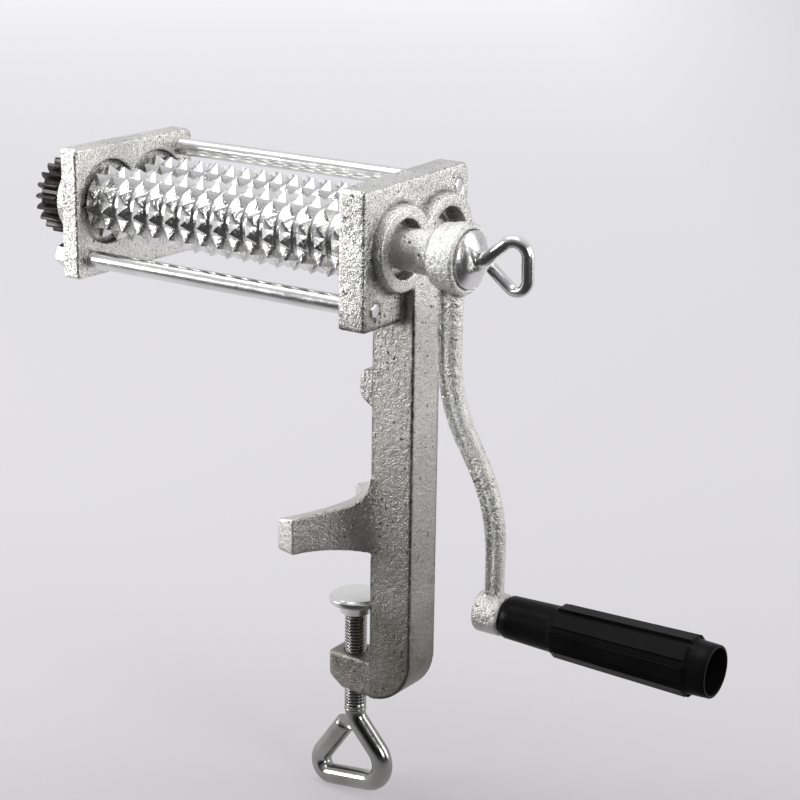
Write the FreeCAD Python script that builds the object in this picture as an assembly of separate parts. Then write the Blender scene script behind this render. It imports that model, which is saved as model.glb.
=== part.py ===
import FreeCAD, Part
import math
import os
from FreeCAD import Vector, Placement, Rotation

# Hand-cranked meat tenderizer with a table clamp, in millimetres.
# +X runs along the rollers towards the crank, -Y is the side the cook faces, +Z is up.
# The origin is where the clamp screw's axis meets the plane that the table top touches.

# ---- fits -----------------------------------------------------------------------------
PRESS_GAP = 0.01          # radial, a pressed or screwed-in cylinder in its hole
RUNNING_GAP = 0.05        # radial, a shaft that turns in its hole
SIDE_GAP = 0.4            # axial, between a turning piece and the wall beside it
SQUARE_GAP = 0.05         # per side, a square shaft end in its socket
SPARE = 1.0               # how far a cut or a joined piece runs past the face it meets
CLOSE = 1e-6              # lengths this near count as equal

# ---- end plates -------------------------------------------------------------------------
PLATE_DEPTH = 76.0
PLATE_HEIGHT = 58.5
PLATE_LIFT = 106.0        # table plane to the underside of both plates
RIGHT_PLATE = 13.4        # thickness
LEFT_PLATE = 9.4
PLATE_GAP = 141.5         # inner face to inner face
RIGHT_INNER_X = 16.3      # clamp screw's axis to the right plate's inner face
PLATE_ROUNDING = 1.8
PLATE_CORNER = 4.5        # rear top corner, seen from the side
RIGHT_PLATE_RISE = 2.2    # its top at the rear above its top at the front
RIGHT_PLATE_TAIL = 0.4    # each plate's rear edge past PLATE_DEPTH
LEFT_PLATE_TAIL = 3.0
BOSS_RADIUS = 18.2
BOSS_HEIGHT = 5.6
LEFT_BOSS_HEIGHT = 6.5
BOSS_ROUNDING = 1.2
BOSS_BORE_RADIUS = 12.5
BOSS_BORE_DEPTH = 7.0
RECESS_RADIUS = 18.9      # pocket that the end of each roller turns in

# ---- column and clamp ---------------------------------------------------------------------
COLUMN_WIDTH = 20.0
COLUMN_INNER_X = 14.2     # clamp screw's axis to the face that the table's edge meets
COLUMN_ROUNDING = 2.0
COLUMN_BOTTOM = 68.5      # below the table plane
COLUMN_TOE_RADIUS = 21.0
ARM_TOP = 52.0            # below the table plane
ARM_REACH = 9.6           # from the clamp screw's axis to the arm's free end
ARM_END_WIDTH = 15.5
ARM_CHAMFER_DROP = 5.5
ARM_CHAMFER_RUN = 8.0
JAW_ARC_RADIUS = 32.2     # concave outer side of each foot, seen from above
JAW_ARC_TURN = 72.6       # degrees
JAW_ARC_START_X = 20.0
JAW_THICKNESS = 12.8      # of a foot at its free end
JAW_ROUNDING = 1.6
JAW_END_SKEW = 16.0       # degrees, the foot's end face against the X axis
JAW_NOTCH_X = 5.0         # how far the bridge between the feet reaches past the origin
FOOT_HEIGHT = 14.4
FOOT_SLOPE_RISE = 4.8     # rise of the foot's top up to the web's arc
FOOT_TIP_HEIGHT = 13.4
WEB_RUN = 13.5            # curved web between the foot's slope and the column: along X
WEB_RISE = 15.0
WEB_MIDDLE_RUN = 4.8      # its middle point, from the column's face
WEB_MIDDLE_RISE = 4.5     # and above the foot's slope
SHOULDER_DROP = 4.2       # the column steps in to its full thickness this far under the plate
LUG_TOP = 80.5            # above the table plane
LUG_FACE_HEIGHT = 13.5    # bulged outer face
LUG_SLOPE_DROP = 5.0      # slope below the face, back to the column
LUG_REACH = 9.8
LUG_SHOULDER = 2.2        # how far the face leans back at its top
LUG_CHIN = 1.8            # and at its foot
LUG_WIDTH = 11.0

# ---- rollers ------------------------------------------------------------------------------
ROLLER_LIFT = 32.4        # plate underside to both roller axes
TIP_RADIUS = 16.8
TOOTH_FOOT_RADIUS = 13.6
GROOVE_RADIUS = 12.6
TEETH_AROUND = 12
RING_COUNT = 17
RING_PITCH = 8.93
TOOTH_LENGTH = 5.8        # along the roller
DRUM_COLLAR = 1.2
DRUM_SHIFT = 1.6          # the drums stand this much nearer the crank than mid-gap
FRONT_TOOTH_PHASE = 4.5   # degrees from straight up, towards the front
REAR_TOOTH_PHASE = 5.0
CORE_RADIUS = 8.0         # shaft inside the drum
JOURNAL_RADIUS = 7.0
BUSH_WALL = 2.2
SQUARE_SIDE = 9.0
REAR_SHAFT_PROUD = 1.0    # past the floor of the boss bore

# ---- gears --------------------------------------------------------------------------------
GEAR_MODULE = 1.6
GEAR_TEETH = 20
GEAR_WIDTH = 12.1
GEAR_GAP = 1.2            # boss face to gear
GEAR_PHASE = 13.0         # degrees, a tooth of the front gear from straight up
GEAR_BACKLASH = 0.20
PRESSURE_ANGLE = 20.0
GEAR_ROOT_DEPTH = 1.25    # modules below the pitch circle
FLANK_SHARES = (0.0, 0.35, 0.7, 1.0)  # points of a tooth's flank, from base circle to tip
GEAR_HUB_RADIUS = 9.5
GEAR_FACE_RECESS = 1.6
GEAR_WASHER_RADIUS = 7.0
GEAR_WASHER_THICKNESS = 1.2
GEAR_SCREW_RADIUS = 2.5
GEAR_SCREW_HEAD_FLATS = 8.0
GEAR_SCREW_HEAD = 3.6
GEAR_SCREW_LENGTH = 14.0

# ---- tie rods -----------------------------------------------------------------------------
ROD_RADIUS = 4.0
ROD_SPIGOT_RADIUS = 3.0
FRONT_ROD_INSET_Y = 8.0   # plate's front face to the rod's axis
FRONT_ROD_INSET_Z = 8.6   # plate's underside to the rod's axis
REAR_ROD_INSET_Y = 6.8
REAR_ROD_INSET_Z = 7.5    # plate's top to the rod's axis
ROD_NUT_FLATS = 10.0
ROD_NUT_HEIGHT = 7.0
ROD_NUT_TURN = 15.0       # degrees, as the nuts were left
ROD_THREAD_PROUD = 1.2
NUT_BOSS_GAP = 0.05       # from a nut's corner to the boss beside it

# ---- crank --------------------------------------------------------------------------------
NECK_RADIUS = 8.4
NECK_ROOT_RADIUS = 9.6    # where the neck meets the hub
NECK_FILLET = 2.0
NECK_END_GAP = 0.6        # bore floor to the neck's end
HUB_START_X = 52.2
HUB_STEP_X = 59.1
HUB_END_X = 65.8
HUB_START_RADIUS = 13.6
HUB_STEP_RADIUS = 14.2
HUB_STEP_HEIGHT = 0.3
HUB_END_RADIUS = 14.8
HUB_ROUNDING = 1.2
HUB_SEAT_DEPTH = 1.6
HUB_SEAT_GAP = 0.3
CRANK_RADIUS = 147.6      # roller axis to grip axis
ARM_TOP_X = 57.9
ARM_OFFSET = 24.3         # how far the S bend carries the arm outwards
ARM_BEND_RADIUS = 70.0
ARM_LEAN = 30.0           # degrees, the arm's slope between its two bends
ARM_LOWER_BEND_Z = 28.5   # grip axis to the end of the lower bend
ARM_HALF_THICKNESS = 4.6  # along X
ARM_FLANGE_THICKNESS = 2.0
ARM_FLANGE_HALF_WIDTH = 5.3
ARM_BODY_HALF_WIDTH = 4.3
ARM_TAPER = 0.74          # lower section against upper section
EYE_RADIUS = 8.9
EYE_START_X = 75.2
EYE_END_X = 87.9
EYE_HOLE_DEPTH = 10.0

# ---- crank washer and thumb screw -----------------------------------------------------------
CRANK_WASHER_RADIUS = 11.9
CRANK_WASHER_RIM = 2.6
CRANK_WASHER_RISE = 3.0   # of the dome above the rim
CRANK_WASHER_CROWN_RADIUS = 4.2
THUMB_SCREW_RADIUS = 3.0
THUMB_WIRE_RADIUS = 2.6
THUMB_SCREW_START_X = 47.0
SHAFT_END_BELOW_SEAT = 2.0
THUMB_HOLE_DEPTH = 20.0
THUMB_SHANK = 1.6         # washer's crown to the middle of the loop's first bend
THUMB_LOOP_LENGTH = 19.6  # from there to the far bar
THUMB_LOOP_RISE = 16.2    # corners of the far bar, before their bends are rounded
THUMB_LOOP_DROP = 16.4
THUMB_ROOT_BEND = 4.5
THUMB_LOOP_BEND = 5.9
THUMB_END_REACH = 1.6     # free end: along the shank from the first bend,
THUMB_END_DROP = 2.8      # below it
THUMB_END_PASS = 4.8      # and behind it

# ---- grip ---------------------------------------------------------------------------------
GRIP_LENGTH = 94.6
GRIP_START_RADIUS = 9.0
GRIP_NECK_RADIUS = 9.8    # where the ribs begin
GRIP_WIDE_RADIUS = 11.1   # where the ribs end
GRIP_END_RADIUS = 10.7
GRIP_RIB_START = 25.0     # from the grip's inner end
GRIP_RIB_END = 85.5
GRIP_RIB_HEIGHT = 1.1
GRIP_RIB_COUNT = 8
GRIP_RIB_ANGLE = 31.0
GRIP_END_CHAMFER = 1.4
GRIP_WALL = 1.25
GRIP_CAVITY_DEPTH = 40.0
GRIP_CAVITY_DRAFT = 0.9
BOLT_RADIUS = 4.0
BOLT_HEAD_RADIUS = 6.4
BOLT_HEAD_HEIGHT = 4.6
BOLT_SLOT_WIDTH = 1.6
BOLT_SLOT_DEPTH = 2.3
BOLT_WASHER_RADIUS = 7.6
BOLT_WASHER_THICKNESS = 1.4

# ---- clamp screw and pad --------------------------------------------------------------------
TABLE_THICKNESS = 25.3    # board between the feet and the pad
CLAMP_SCREW_RADIUS = 5.0
CLAMP_WIRE_RADIUS = 4.7
CLAMP_THREAD_BELOW = 12.5  # thread that shows under the arm
CLAMP_ROOT_DROP = 3.6     # thread's end to the middle of the loop's first bend
CLAMP_RIGHT_REACH = 24.3  # corners of the bottom bar, before their bends are rounded
CLAMP_RIGHT_DROP = 28.6
CLAMP_LEFT_REACH = 30.4
CLAMP_LEFT_DROP = 38.0
CLAMP_ROOT_BEND = 9.0
CLAMP_RIGHT_BEND = 11.2
CLAMP_LEFT_BEND = 6.2
CLAMP_END_REACH = 9.8     # free end: to the left of the shank's axis,
CLAMP_END_DROP = 8.4      # below the first bend
CLAMP_END_PASS = 7.0      # and behind it
CLAMP_TIP_RADIUS = 3.4
PAD_RADIUS = 12.0
PAD_THICKNESS = 3.6
PAD_SOCKET_RADIUS = 7.0
PAD_SOCKET_HEIGHT = 5.0
PAD_SOCKET_FLARE = 1.0
PAD_CHAMFER = 1.2

# ---- places worked out from the values above ---------------------------------------------------
LEFT_INNER_X = RIGHT_INNER_X - PLATE_GAP
LEFT_OUTER_X = LEFT_INNER_X - LEFT_PLATE
LEFT_BOSS_X = LEFT_OUTER_X - LEFT_BOSS_HEIGHT
RIGHT_OUTER_X = RIGHT_INNER_X + RIGHT_PLATE
BOSS_FACE_X = RIGHT_OUTER_X + BOSS_HEIGHT
BORE_FLOOR_X = BOSS_FACE_X - BOSS_BORE_DEPTH
PLATE_TOP = PLATE_LIFT + PLATE_HEIGHT
ROLLER_Z = PLATE_LIFT + ROLLER_LIFT
ROLLER_Y = GEAR_MODULE * GEAR_TEETH / 2
FRONT_AXIS = (-ROLLER_Y, ROLLER_Z)
REAR_AXIS = (ROLLER_Y, ROLLER_Z)
FRONT_ROD = (FRONT_ROD_INSET_Y - PLATE_DEPTH / 2, PLATE_LIFT + FRONT_ROD_INSET_Z)
REAR_ROD = (PLATE_DEPTH / 2 - REAR_ROD_INSET_Y, PLATE_TOP - REAR_ROD_INSET_Z)
NUT_SIDE_REACH = math.dist(REAR_ROD, REAR_AXIS) - ROD_NUT_FLATS / math.sqrt(3) - NUT_BOSS_GAP
LEFT_BOSS_RADIUS = min(BOSS_RADIUS, NUT_SIDE_REACH)
DRUM_MIDDLE_X = RIGHT_INNER_X - PLATE_GAP / 2 + DRUM_SHIFT
FIRST_RING_X = DRUM_MIDDLE_X - (RING_COUNT - 1) * RING_PITCH / 2
DRUM_START_X = FIRST_RING_X - TOOTH_LENGTH / 2 - DRUM_COLLAR
DRUM_END_X = FIRST_RING_X + (RING_COUNT - 1) * RING_PITCH + TOOTH_LENGTH / 2 + DRUM_COLLAR
LEFT_POCKET_X = DRUM_START_X - SIDE_GAP
RIGHT_POCKET_X = DRUM_END_X + SIDE_GAP
BUSH_RADIUS = JOURNAL_RADIUS + RUNNING_GAP + BUSH_WALL
GEAR_NEAR_X = LEFT_BOSS_X - GEAR_GAP
GEAR_FAR_X = GEAR_NEAR_X - GEAR_WIDTH
HUB_SEAT_X = HUB_END_X - HUB_SEAT_DEPTH
SHAFT_END_X = HUB_SEAT_X - SHAFT_END_BELOW_SEAT
WASHER_CROWN_X = HUB_SEAT_X + CRANK_WASHER_RIM + CRANK_WASHER_RISE
GRIP_AXIS = (FRONT_AXIS[0], ROLLER_Z - CRANK_RADIUS)
GRIP_START_X = EYE_END_X + SIDE_GAP
GRIP_END_X = GRIP_START_X + GRIP_LENGTH
GRIP_FLOOR_X = GRIP_END_X - GRIP_CAVITY_DEPTH
PAD_TOP = -TABLE_THICKNESS
PAD_UNDER = PAD_TOP - PAD_THICKNESS
SCREW_SHOULDER = PAD_UNDER - PAD_SOCKET_HEIGHT - SIDE_GAP
THREAD_END = -COLUMN_BOTTOM - CLAMP_THREAD_BELOW


# ---- small helpers -------------------------------------------------------------------------
def rod_x(radius, start, end, axis):
    """Cylinder along X; axis is its (y, z)."""
    return Part.makeCylinder(radius, end - start, Vector(start, axis[0], axis[1]), Vector(1, 0, 0))


def rod_z(radius, low, high, x=0.0, y=0.0):
    return Part.makeCylinder(radius, high - low, Vector(x, y, low))


def square_x(side, start, end, axis):
    """Square bar along X, its flats level and upright."""
    corner = Vector(start, axis[0] - side / 2, axis[1] - side / 2)
    return Part.makeBox(end - start, side, side, corner)


def hexagon_x(flats, start, end, axis, lean=0.0):
    """Hexagonal bar along X; lean turns its upper corner from straight up towards the rear, in degrees."""
    reach = flats / math.sqrt(3)
    corners = []
    for step in range(7):
        turn = math.radians(60 * step + 90 - lean)
        corners.append(Vector(start, axis[0] + reach * math.cos(turn), axis[1] + reach * math.sin(turn)))
    return Part.Face(Part.makePolygon(corners)).extrude(Vector(end - start, 0, 0))


def revolve_x(outline, axis):
    """Solid of revolution about X from (x, radius) corners; axis is the centre's (y, z)."""
    corners = [Vector(x, axis[0] + radius, axis[1]) for x, radius in outline]
    face = Part.Face(Part.makePolygon(corners + corners[:1]))
    return face.revolve(Vector(0, axis[0], axis[1]), Vector(1, 0, 0), 360)


def revolve_z(outline):
    """Solid of revolution about the Z axis from (radius, z) corners."""
    corners = [Vector(radius, 0, z) for radius, z in outline]
    face = Part.Face(Part.makePolygon(corners + corners[:1]))
    return face.revolve(Vector(0, 0, 0), Vector(0, 0, 1), 360)


def arc(start, middle, end):
    return Part.Arc(start, middle, end).toShape()


def line(start, end):
    return Part.makeLine(start, end)


def on_side(x, z, y=0.0):
    return Vector(x, y, z)


def edges_along(shape, direction):
    """Straight edges of a shape that run along a direction."""
    found = []
    for edge in shape.Edges:
        heading = edge.tangentAt(edge.FirstParameter)
        if isinstance(edge.Curve, Part.Line) and heading.cross(direction).Length < CLOSE:
            found.append(edge)
    return found


def bent_wire(points, bend_radii):
    """Path of straight runs joined by tangent arcs, one radius for each inner point."""
    edges = []
    here = points[0]
    for before, corner, after, bend_radius in zip(points, points[1:], points[2:], bend_radii):
        into = (corner - before).normalize()
        out = (after - corner).normalize()
        turn = into.getAngle(out)
        run = bend_radius * math.tan(turn / 2)
        start = corner - into * run
        end = corner + out * run
        inward = (out - into).normalize()
        centre = corner + inward * (bend_radius / math.cos(turn / 2))
        middle = centre - inward * bend_radius
        edges.append(line(here, start))
        edges.append(arc(start, middle, end))
        here = end
    edges.append(line(here, points[-1]))
    return Part.Wire(edges)


def round_bar(path, radius):
    """Bar of round section along a path."""
    first = path.Edges[0]
    start = first.valueAt(first.FirstParameter)
    heading = first.tangentAt(first.FirstParameter)
    ring = Part.Wire([Part.makeCircle(radius, start, heading)])
    return path.makePipeShell([ring], True, True)


def save(node, shape):
    if not shape.isValid():
        raise ValueError(node + " is not a valid shape")
    shape.exportStep("parts/" + node + ".step")


# ---- castings --------------------------------------------------------------------------------
def end_plate_blank(start_x, thickness, tail, rise):
    """Plate with rounded edges; its top climbs by rise towards a rounder corner at the rear."""
    front = -PLATE_DEPTH / 2
    rear = PLATE_DEPTH / 2 + tail
    outline = [on_side(start_x, PLATE_LIFT, front), on_side(start_x, PLATE_TOP, front),
               on_side(start_x, PLATE_TOP + rise, rear), on_side(start_x, PLATE_LIFT, rear)]
    blank = Part.Face(Part.makePolygon(outline + outline[:1])).extrude(Vector(thickness, 0, 0))
    across = Vector(1, 0, 0)
    corner = max(edges_along(blank, across), key=lambda edge: edge.CenterOfMass.y + edge.CenterOfMass.z)
    blank = blank.makeFillet(PLATE_CORNER, [corner])
    seams = []
    for edge in edges_along(blank, across):
        if edge.CenterOfMass.y > 0 and edge.CenterOfMass.z > ROLLER_Z:
            seams.append(edge)
    rims = [edge for edge in blank.Edges if not any(edge.isSame(seam) for seam in seams)]
    return blank.makeFillet(PLATE_ROUNDING, rims)


def boss(radius, start_x, face_x, axis):
    """Round boss whose outer rim is rounded; face_x is the end that stands out of the plate."""
    drum_blank = rod_x(radius, min(start_x, face_x), max(start_x, face_x), axis)
    rim = [edge for edge in drum_blank.Edges if edge.Closed and abs(edge.CenterOfMass.x - face_x) < CLOSE]
    return drum_blank.makeFillet(BOSS_ROUNDING, rim)


def column():
    """Upright bar from between the bosses down to the toe, rounded along its outline."""
    inner = COLUMN_INNER_X
    outer = BOSS_FACE_X
    shoulder = PLATE_LIFT - SHOULDER_DROP
    hidden_x = RIGHT_OUTER_X - BOSS_HEIGHT
    toe = COLUMN_TOE_RADIUS
    toe_centre = on_side(outer - toe, toe - COLUMN_BOTTOM)
    toe_middle = toe_centre + on_side(toe, -toe) * math.sqrt(0.5)
    tuck = PLATE_LIFT + PLATE_ROUNDING
    corners = [on_side(outer, toe_centre.z), on_side(outer, ROLLER_Z), on_side(hidden_x, ROLLER_Z),
               on_side(hidden_x, tuck), on_side(RIGHT_INNER_X, tuck), on_side(RIGHT_INNER_X, PLATE_LIFT),
               on_side(inner, shoulder), on_side(inner, -COLUMN_BOTTOM)]
    if toe_centre.x > inner:
        corners.append(on_side(toe_centre.x, -COLUMN_BOTTOM))
    edges = [line(a, b) for a, b in zip(corners, corners[1:])]
    edges.append(arc(corners[-1], toe_middle, corners[0]))
    side = Part.Face(Part.Wire(edges))
    side.translate(Vector(0, -COLUMN_WIDTH / 2, 0))
    bar = side.extrude(Vector(0, COLUMN_WIDTH, 0))
    outline = []
    for edge in bar.Edges:
        ends = [vertex.Point for vertex in edge.Vertexes]
        flat = all(abs(abs(point.y) - COLUMN_WIDTH / 2) < CLOSE for point in ends)
        low = all(point.z < PLATE_LIFT - CLOSE for point in ends)
        outer_side = all(point.x > outer - CLOSE for point in ends)
        if flat and abs(ends[0].y - ends[-1].y) < CLOSE and (low or outer_side):
            outline.append(edge)
    return bar.makeFillet(COLUMN_ROUNDING, outline)


def clamp_arm():
    """Lower arm that carries the clamp screw's thread, narrower at its free end."""
    root_x = COLUMN_INNER_X + COLUMN_ROUNDING * 2
    end_x = -ARM_REACH
    plan = [Vector(end_x, -ARM_END_WIDTH / 2, 0), Vector(root_x, -COLUMN_WIDTH / 2, 0),
            Vector(root_x, COLUMN_WIDTH / 2, 0), Vector(end_x, ARM_END_WIDTH / 2, 0)]
    block = Part.Face(Part.makePolygon(plan + plan[:1])).extrude(Vector(0, 0, COLUMN_BOTTOM - ARM_TOP))
    block.translate(Vector(0, 0, -COLUMN_BOTTOM))
    upright = [edge for edge in edges_along(block, Vector(0, 0, 1)) if edge.CenterOfMass.x < 0]
    block = block.makeFillet(COLUMN_ROUNDING, upright)
    low_x = end_x + ARM_CHAMFER_RUN
    wedge = [on_side(end_x, -COLUMN_BOTTOM), on_side(low_x, -COLUMN_BOTTOM),
             on_side(end_x, -COLUMN_BOTTOM + ARM_CHAMFER_DROP)]
    slope = Part.Face(Part.makePolygon(wedge + wedge[:1]))
    slope.translate(Vector(0, -COLUMN_WIDTH, 0))
    return block.cut(slope.extrude(Vector(0, 2 * COLUMN_WIDTH, 0)))


def jaw():
    """Two feet that spread from the column, with flat undersides and a curved web above."""
    turn = math.radians(JAW_ARC_TURN)
    skew = math.radians(JAW_END_SKEW)
    half = COLUMN_WIDTH / 2
    centre_y = half + JAW_ARC_RADIUS

    def on_arc(angle, side):
        return Vector(JAW_ARC_START_X - JAW_ARC_RADIUS * math.sin(angle),
                      side * (centre_y - JAW_ARC_RADIUS * math.cos(angle)), 0)

    outer_rear = on_arc(turn, 1)
    inner_rear = outer_rear + Vector(-JAW_THICKNESS * math.cos(skew), -JAW_THICKNESS * math.sin(skew), 0)
    outer_front = on_arc(turn, -1)
    inner_front = Vector(inner_rear.x, -inner_rear.y, 0)
    edges = [arc(on_arc(0, 1), on_arc(turn / 2, 1), outer_rear), line(outer_rear, inner_rear),
             arc(inner_rear, Vector(-JAW_NOTCH_X, 0, 0), inner_front), line(inner_front, outer_front),
             arc(outer_front, on_arc(turn / 2, -1), on_arc(0, -1)), line(on_arc(0, -1), on_arc(0, 1))]
    slope_top = FOOT_HEIGHT + FOOT_SLOPE_RISE
    web_top = slope_top + WEB_RISE
    plan = Part.Face(Part.Wire(edges)).extrude(Vector(0, 0, web_top))
    free_ends = [edge for edge in edges_along(plan, Vector(0, 0, 1)) if edge.CenterOfMass.x < -JAW_NOTCH_X]
    plan = plan.makeFillet(JAW_ROUNDING, free_ends)
    tip_x = inner_rear.x - SPARE
    tip_top = on_side(tip_x, FOOT_TIP_HEIGHT)
    web_start = on_side(COLUMN_INNER_X - WEB_RUN, slope_top)
    web_middle = on_side(COLUMN_INNER_X - WEB_MIDDLE_RUN, slope_top + WEB_MIDDLE_RISE)
    web_end = on_side(COLUMN_INNER_X, web_top)
    root_x = JAW_ARC_START_X
    side = [line(on_side(tip_x, 0), tip_top), line(tip_top, web_start), arc(web_start, web_middle, web_end),
            line(web_end, on_side(root_x, web_top)), line(on_side(root_x, web_top), on_side(root_x, 0)),
            line(on_side(root_x, 0), on_side(tip_x, 0))]
    profile = Part.Face(Part.Wire(side))
    profile.translate(Vector(0, -2 * centre_y, 0))
    return plan.common(profile.extrude(Vector(0, 4 * centre_y, 0)))


def lug():
    """Small lug on the column's inner face: flat on top, bulged outwards, sloping back below."""
    root_x = COLUMN_INNER_X + COLUMN_ROUNDING
    nose_x = COLUMN_INNER_X - LUG_REACH
    chin_z = LUG_TOP - LUG_FACE_HEIGHT
    brow = on_side(nose_x + LUG_SHOULDER, LUG_TOP)
    nose = on_side(nose_x, (LUG_TOP + 2 * chin_z) / 3)
    chin = on_side(nose_x + LUG_CHIN, chin_z)
    slope_end = on_side(COLUMN_INNER_X, chin_z - LUG_SLOPE_DROP)
    root_low = on_side(root_x, slope_end.z)
    root_high = on_side(root_x, LUG_TOP)
    edges = [line(root_high, brow), arc(brow, nose, chin), line(chin, slope_end),
             line(slope_end, root_low), line(root_low, root_high)]
    face = Part.Face(Part.Wire(edges))
    face.translate(Vector(0, -LUG_WIDTH / 2, 0))
    block = face.extrude(Vector(0, LUG_WIDTH, 0))
    rims = [edge for edge in block.Edges if isinstance(edge.Curve, Part.Circle)]
    return block.makeFillet(LUG_CHIN / 2, rims)


def main_frame():
    """Right end plate, column, jaw and clamp arm, cast in one piece."""
    body = end_plate_blank(RIGHT_INNER_X, RIGHT_PLATE, RIGHT_PLATE_TAIL, RIGHT_PLATE_RISE)
    inside_x = RIGHT_INNER_X + RIGHT_PLATE / 2
    bosses = [boss(BOSS_RADIUS, inside_x, BOSS_FACE_X, axis) for axis in (FRONT_AXIS, REAR_AXIS)]
    body = body.multiFuse(bosses + [column(), clamp_arm(), jaw(), lug()])
    cuts = []
    for axis in (FRONT_AXIS, REAR_AXIS):
        cuts.append(rod_x(RECESS_RADIUS, RIGHT_INNER_X - RIGHT_PLATE, RIGHT_POCKET_X, axis))
        cuts.append(rod_x(BUSH_RADIUS + PRESS_GAP, RIGHT_INNER_X, BOSS_FACE_X, axis))
        cuts.append(rod_x(BOSS_BORE_RADIUS, BORE_FLOOR_X, BOSS_FACE_X + BOSS_HEIGHT, axis))
    for axis in (FRONT_ROD, REAR_ROD):
        cuts.append(rod_x(ROD_SPIGOT_RADIUS + PRESS_GAP, RIGHT_INNER_X - SPARE, BOSS_FACE_X, axis))
    cuts.append(rod_z(CLAMP_SCREW_RADIUS + RUNNING_GAP, -COLUMN_BOTTOM - SPARE, -ARM_TOP + SPARE))
    return body.cut(cuts).removeSplitter()


def left_plate():
    """Loose end plate on the gear side."""
    body = end_plate_blank(LEFT_OUTER_X, LEFT_PLATE, LEFT_PLATE_TAIL, 0.0)
    inside_x = LEFT_INNER_X - LEFT_PLATE / 2
    bosses = [boss(LEFT_BOSS_RADIUS, inside_x, LEFT_BOSS_X, axis) for axis in (FRONT_AXIS, REAR_AXIS)]
    body = body.multiFuse(bosses)
    cuts = []
    for axis in (FRONT_AXIS, REAR_AXIS):
        cuts.append(rod_x(RECESS_RADIUS, LEFT_POCKET_X, LEFT_INNER_X + LEFT_PLATE, axis))
        cuts.append(rod_x(BUSH_RADIUS + PRESS_GAP, LEFT_BOSS_X - SPARE, LEFT_INNER_X, axis))
    for axis in (FRONT_ROD, REAR_ROD):
        cuts.append(rod_x(ROD_SPIGOT_RADIUS + PRESS_GAP, LEFT_BOSS_X, LEFT_INNER_X + SPARE, axis))
    return body.cut(cuts).removeSplitter()


def bushes(start_x, end_x):
    """Pair of plain sleeves, one for each roller shaft."""
    pair = []
    for axis in (FRONT_AXIS, REAR_AXIS):
        sleeve = rod_x(BUSH_RADIUS, start_x, end_x, axis)
        pair.append(sleeve.cut(rod_x(JOURNAL_RADIUS + RUNNING_GAP, start_x - SPARE, end_x + SPARE, axis)))
    return Part.makeCompound(pair)


# ---- rollers ------------------------------------------------------------------------------------
def tooth_ring(middle_x, axis, phase):
    """Ring of four-sided pyramid teeth, foot to foot all the way round."""
    step = 2 * math.pi / TEETH_AROUND
    start = middle_x - TOOTH_LENGTH / 2
    end = middle_x + TOOTH_LENGTH / 2

    def spot(x, radius, turn):
        angle = math.radians(phase) + turn * step
        return Vector(x, axis[0] - radius * math.sin(angle), axis[1] + radius * math.cos(angle))

    faces = []
    near = []
    far = []
    for tooth in range(TEETH_AROUND):
        tip = spot(middle_x, TIP_RADIUS, tooth)
        feet = [spot(start, TOOTH_FOOT_RADIUS, tooth - 0.5), spot(start, TOOTH_FOOT_RADIUS, tooth + 0.5),
                spot(end, TOOTH_FOOT_RADIUS, tooth + 0.5), spot(end, TOOTH_FOOT_RADIUS, tooth - 0.5)]
        for a, b in zip(feet, feet[1:] + feet[:1]):
            faces.append(Part.Face(Part.makePolygon([a, b, tip, a])))
        near.append(feet[0])
        far.append(feet[3])
    faces.append(Part.Face(Part.makePolygon(near + near[:1])))
    faces.append(Part.Face(Part.makePolygon(far + far[:1])))
    ring = Part.makeSolid(Part.makeShell(faces))
    if ring.Volume < 0:
        ring.reverse()
    return ring


def drum(axis, phase):
    """Toothed roller body with a smooth groove between the rings, bored for its shaft."""
    core = rod_x(GROOVE_RADIUS, DRUM_START_X, DRUM_END_X, axis)
    rings = [tooth_ring(FIRST_RING_X + ring * RING_PITCH, axis, phase) for ring in range(RING_COUNT)]
    body = core.multiFuse(rings)
    return body.cut(rod_x(CORE_RADIUS + PRESS_GAP, DRUM_START_X - SPARE, DRUM_END_X + SPARE, axis))


def shaft_blank(axis, end_x):
    """Square seat for the gear, journal, thicker core in the drum, journal."""
    seat_start = GEAR_FAR_X + SIDE_GAP
    shaft = square_x(SQUARE_SIDE, seat_start, LEFT_BOSS_X, axis)
    pieces = [rod_x(JOURNAL_RADIUS, LEFT_BOSS_X - GEAR_GAP + SIDE_GAP, DRUM_START_X, axis),
              rod_x(CORE_RADIUS, DRUM_START_X, DRUM_END_X, axis),
              rod_x(JOURNAL_RADIUS, DRUM_END_X, end_x, axis)]
    shaft = shaft.multiFuse(pieces)
    hole_end = GEAR_FAR_X + GEAR_SCREW_LENGTH + SIDE_GAP
    return shaft.cut(rod_x(GEAR_SCREW_RADIUS + PRESS_GAP, seat_start - SPARE, hole_end, axis))


def front_shaft():
    """Driven shaft: a square end for the crank, tapped for the thumb screw."""
    journal_end = BORE_FLOOR_X
    shaft = shaft_blank(FRONT_AXIS, journal_end)
    shaft = shaft.fuse(square_x(SQUARE_SIDE, journal_end - SPARE, SHAFT_END_X, FRONT_AXIS))
    hole_radius = THUMB_SCREW_RADIUS + RUNNING_GAP
    return shaft.cut(rod_x(hole_radius, SHAFT_END_X - THUMB_HOLE_DEPTH, SHAFT_END_X + SPARE, FRONT_AXIS))


def rear_shaft():
    return shaft_blank(REAR_AXIS, BORE_FLOOR_X + REAR_SHAFT_PROUD)


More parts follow.
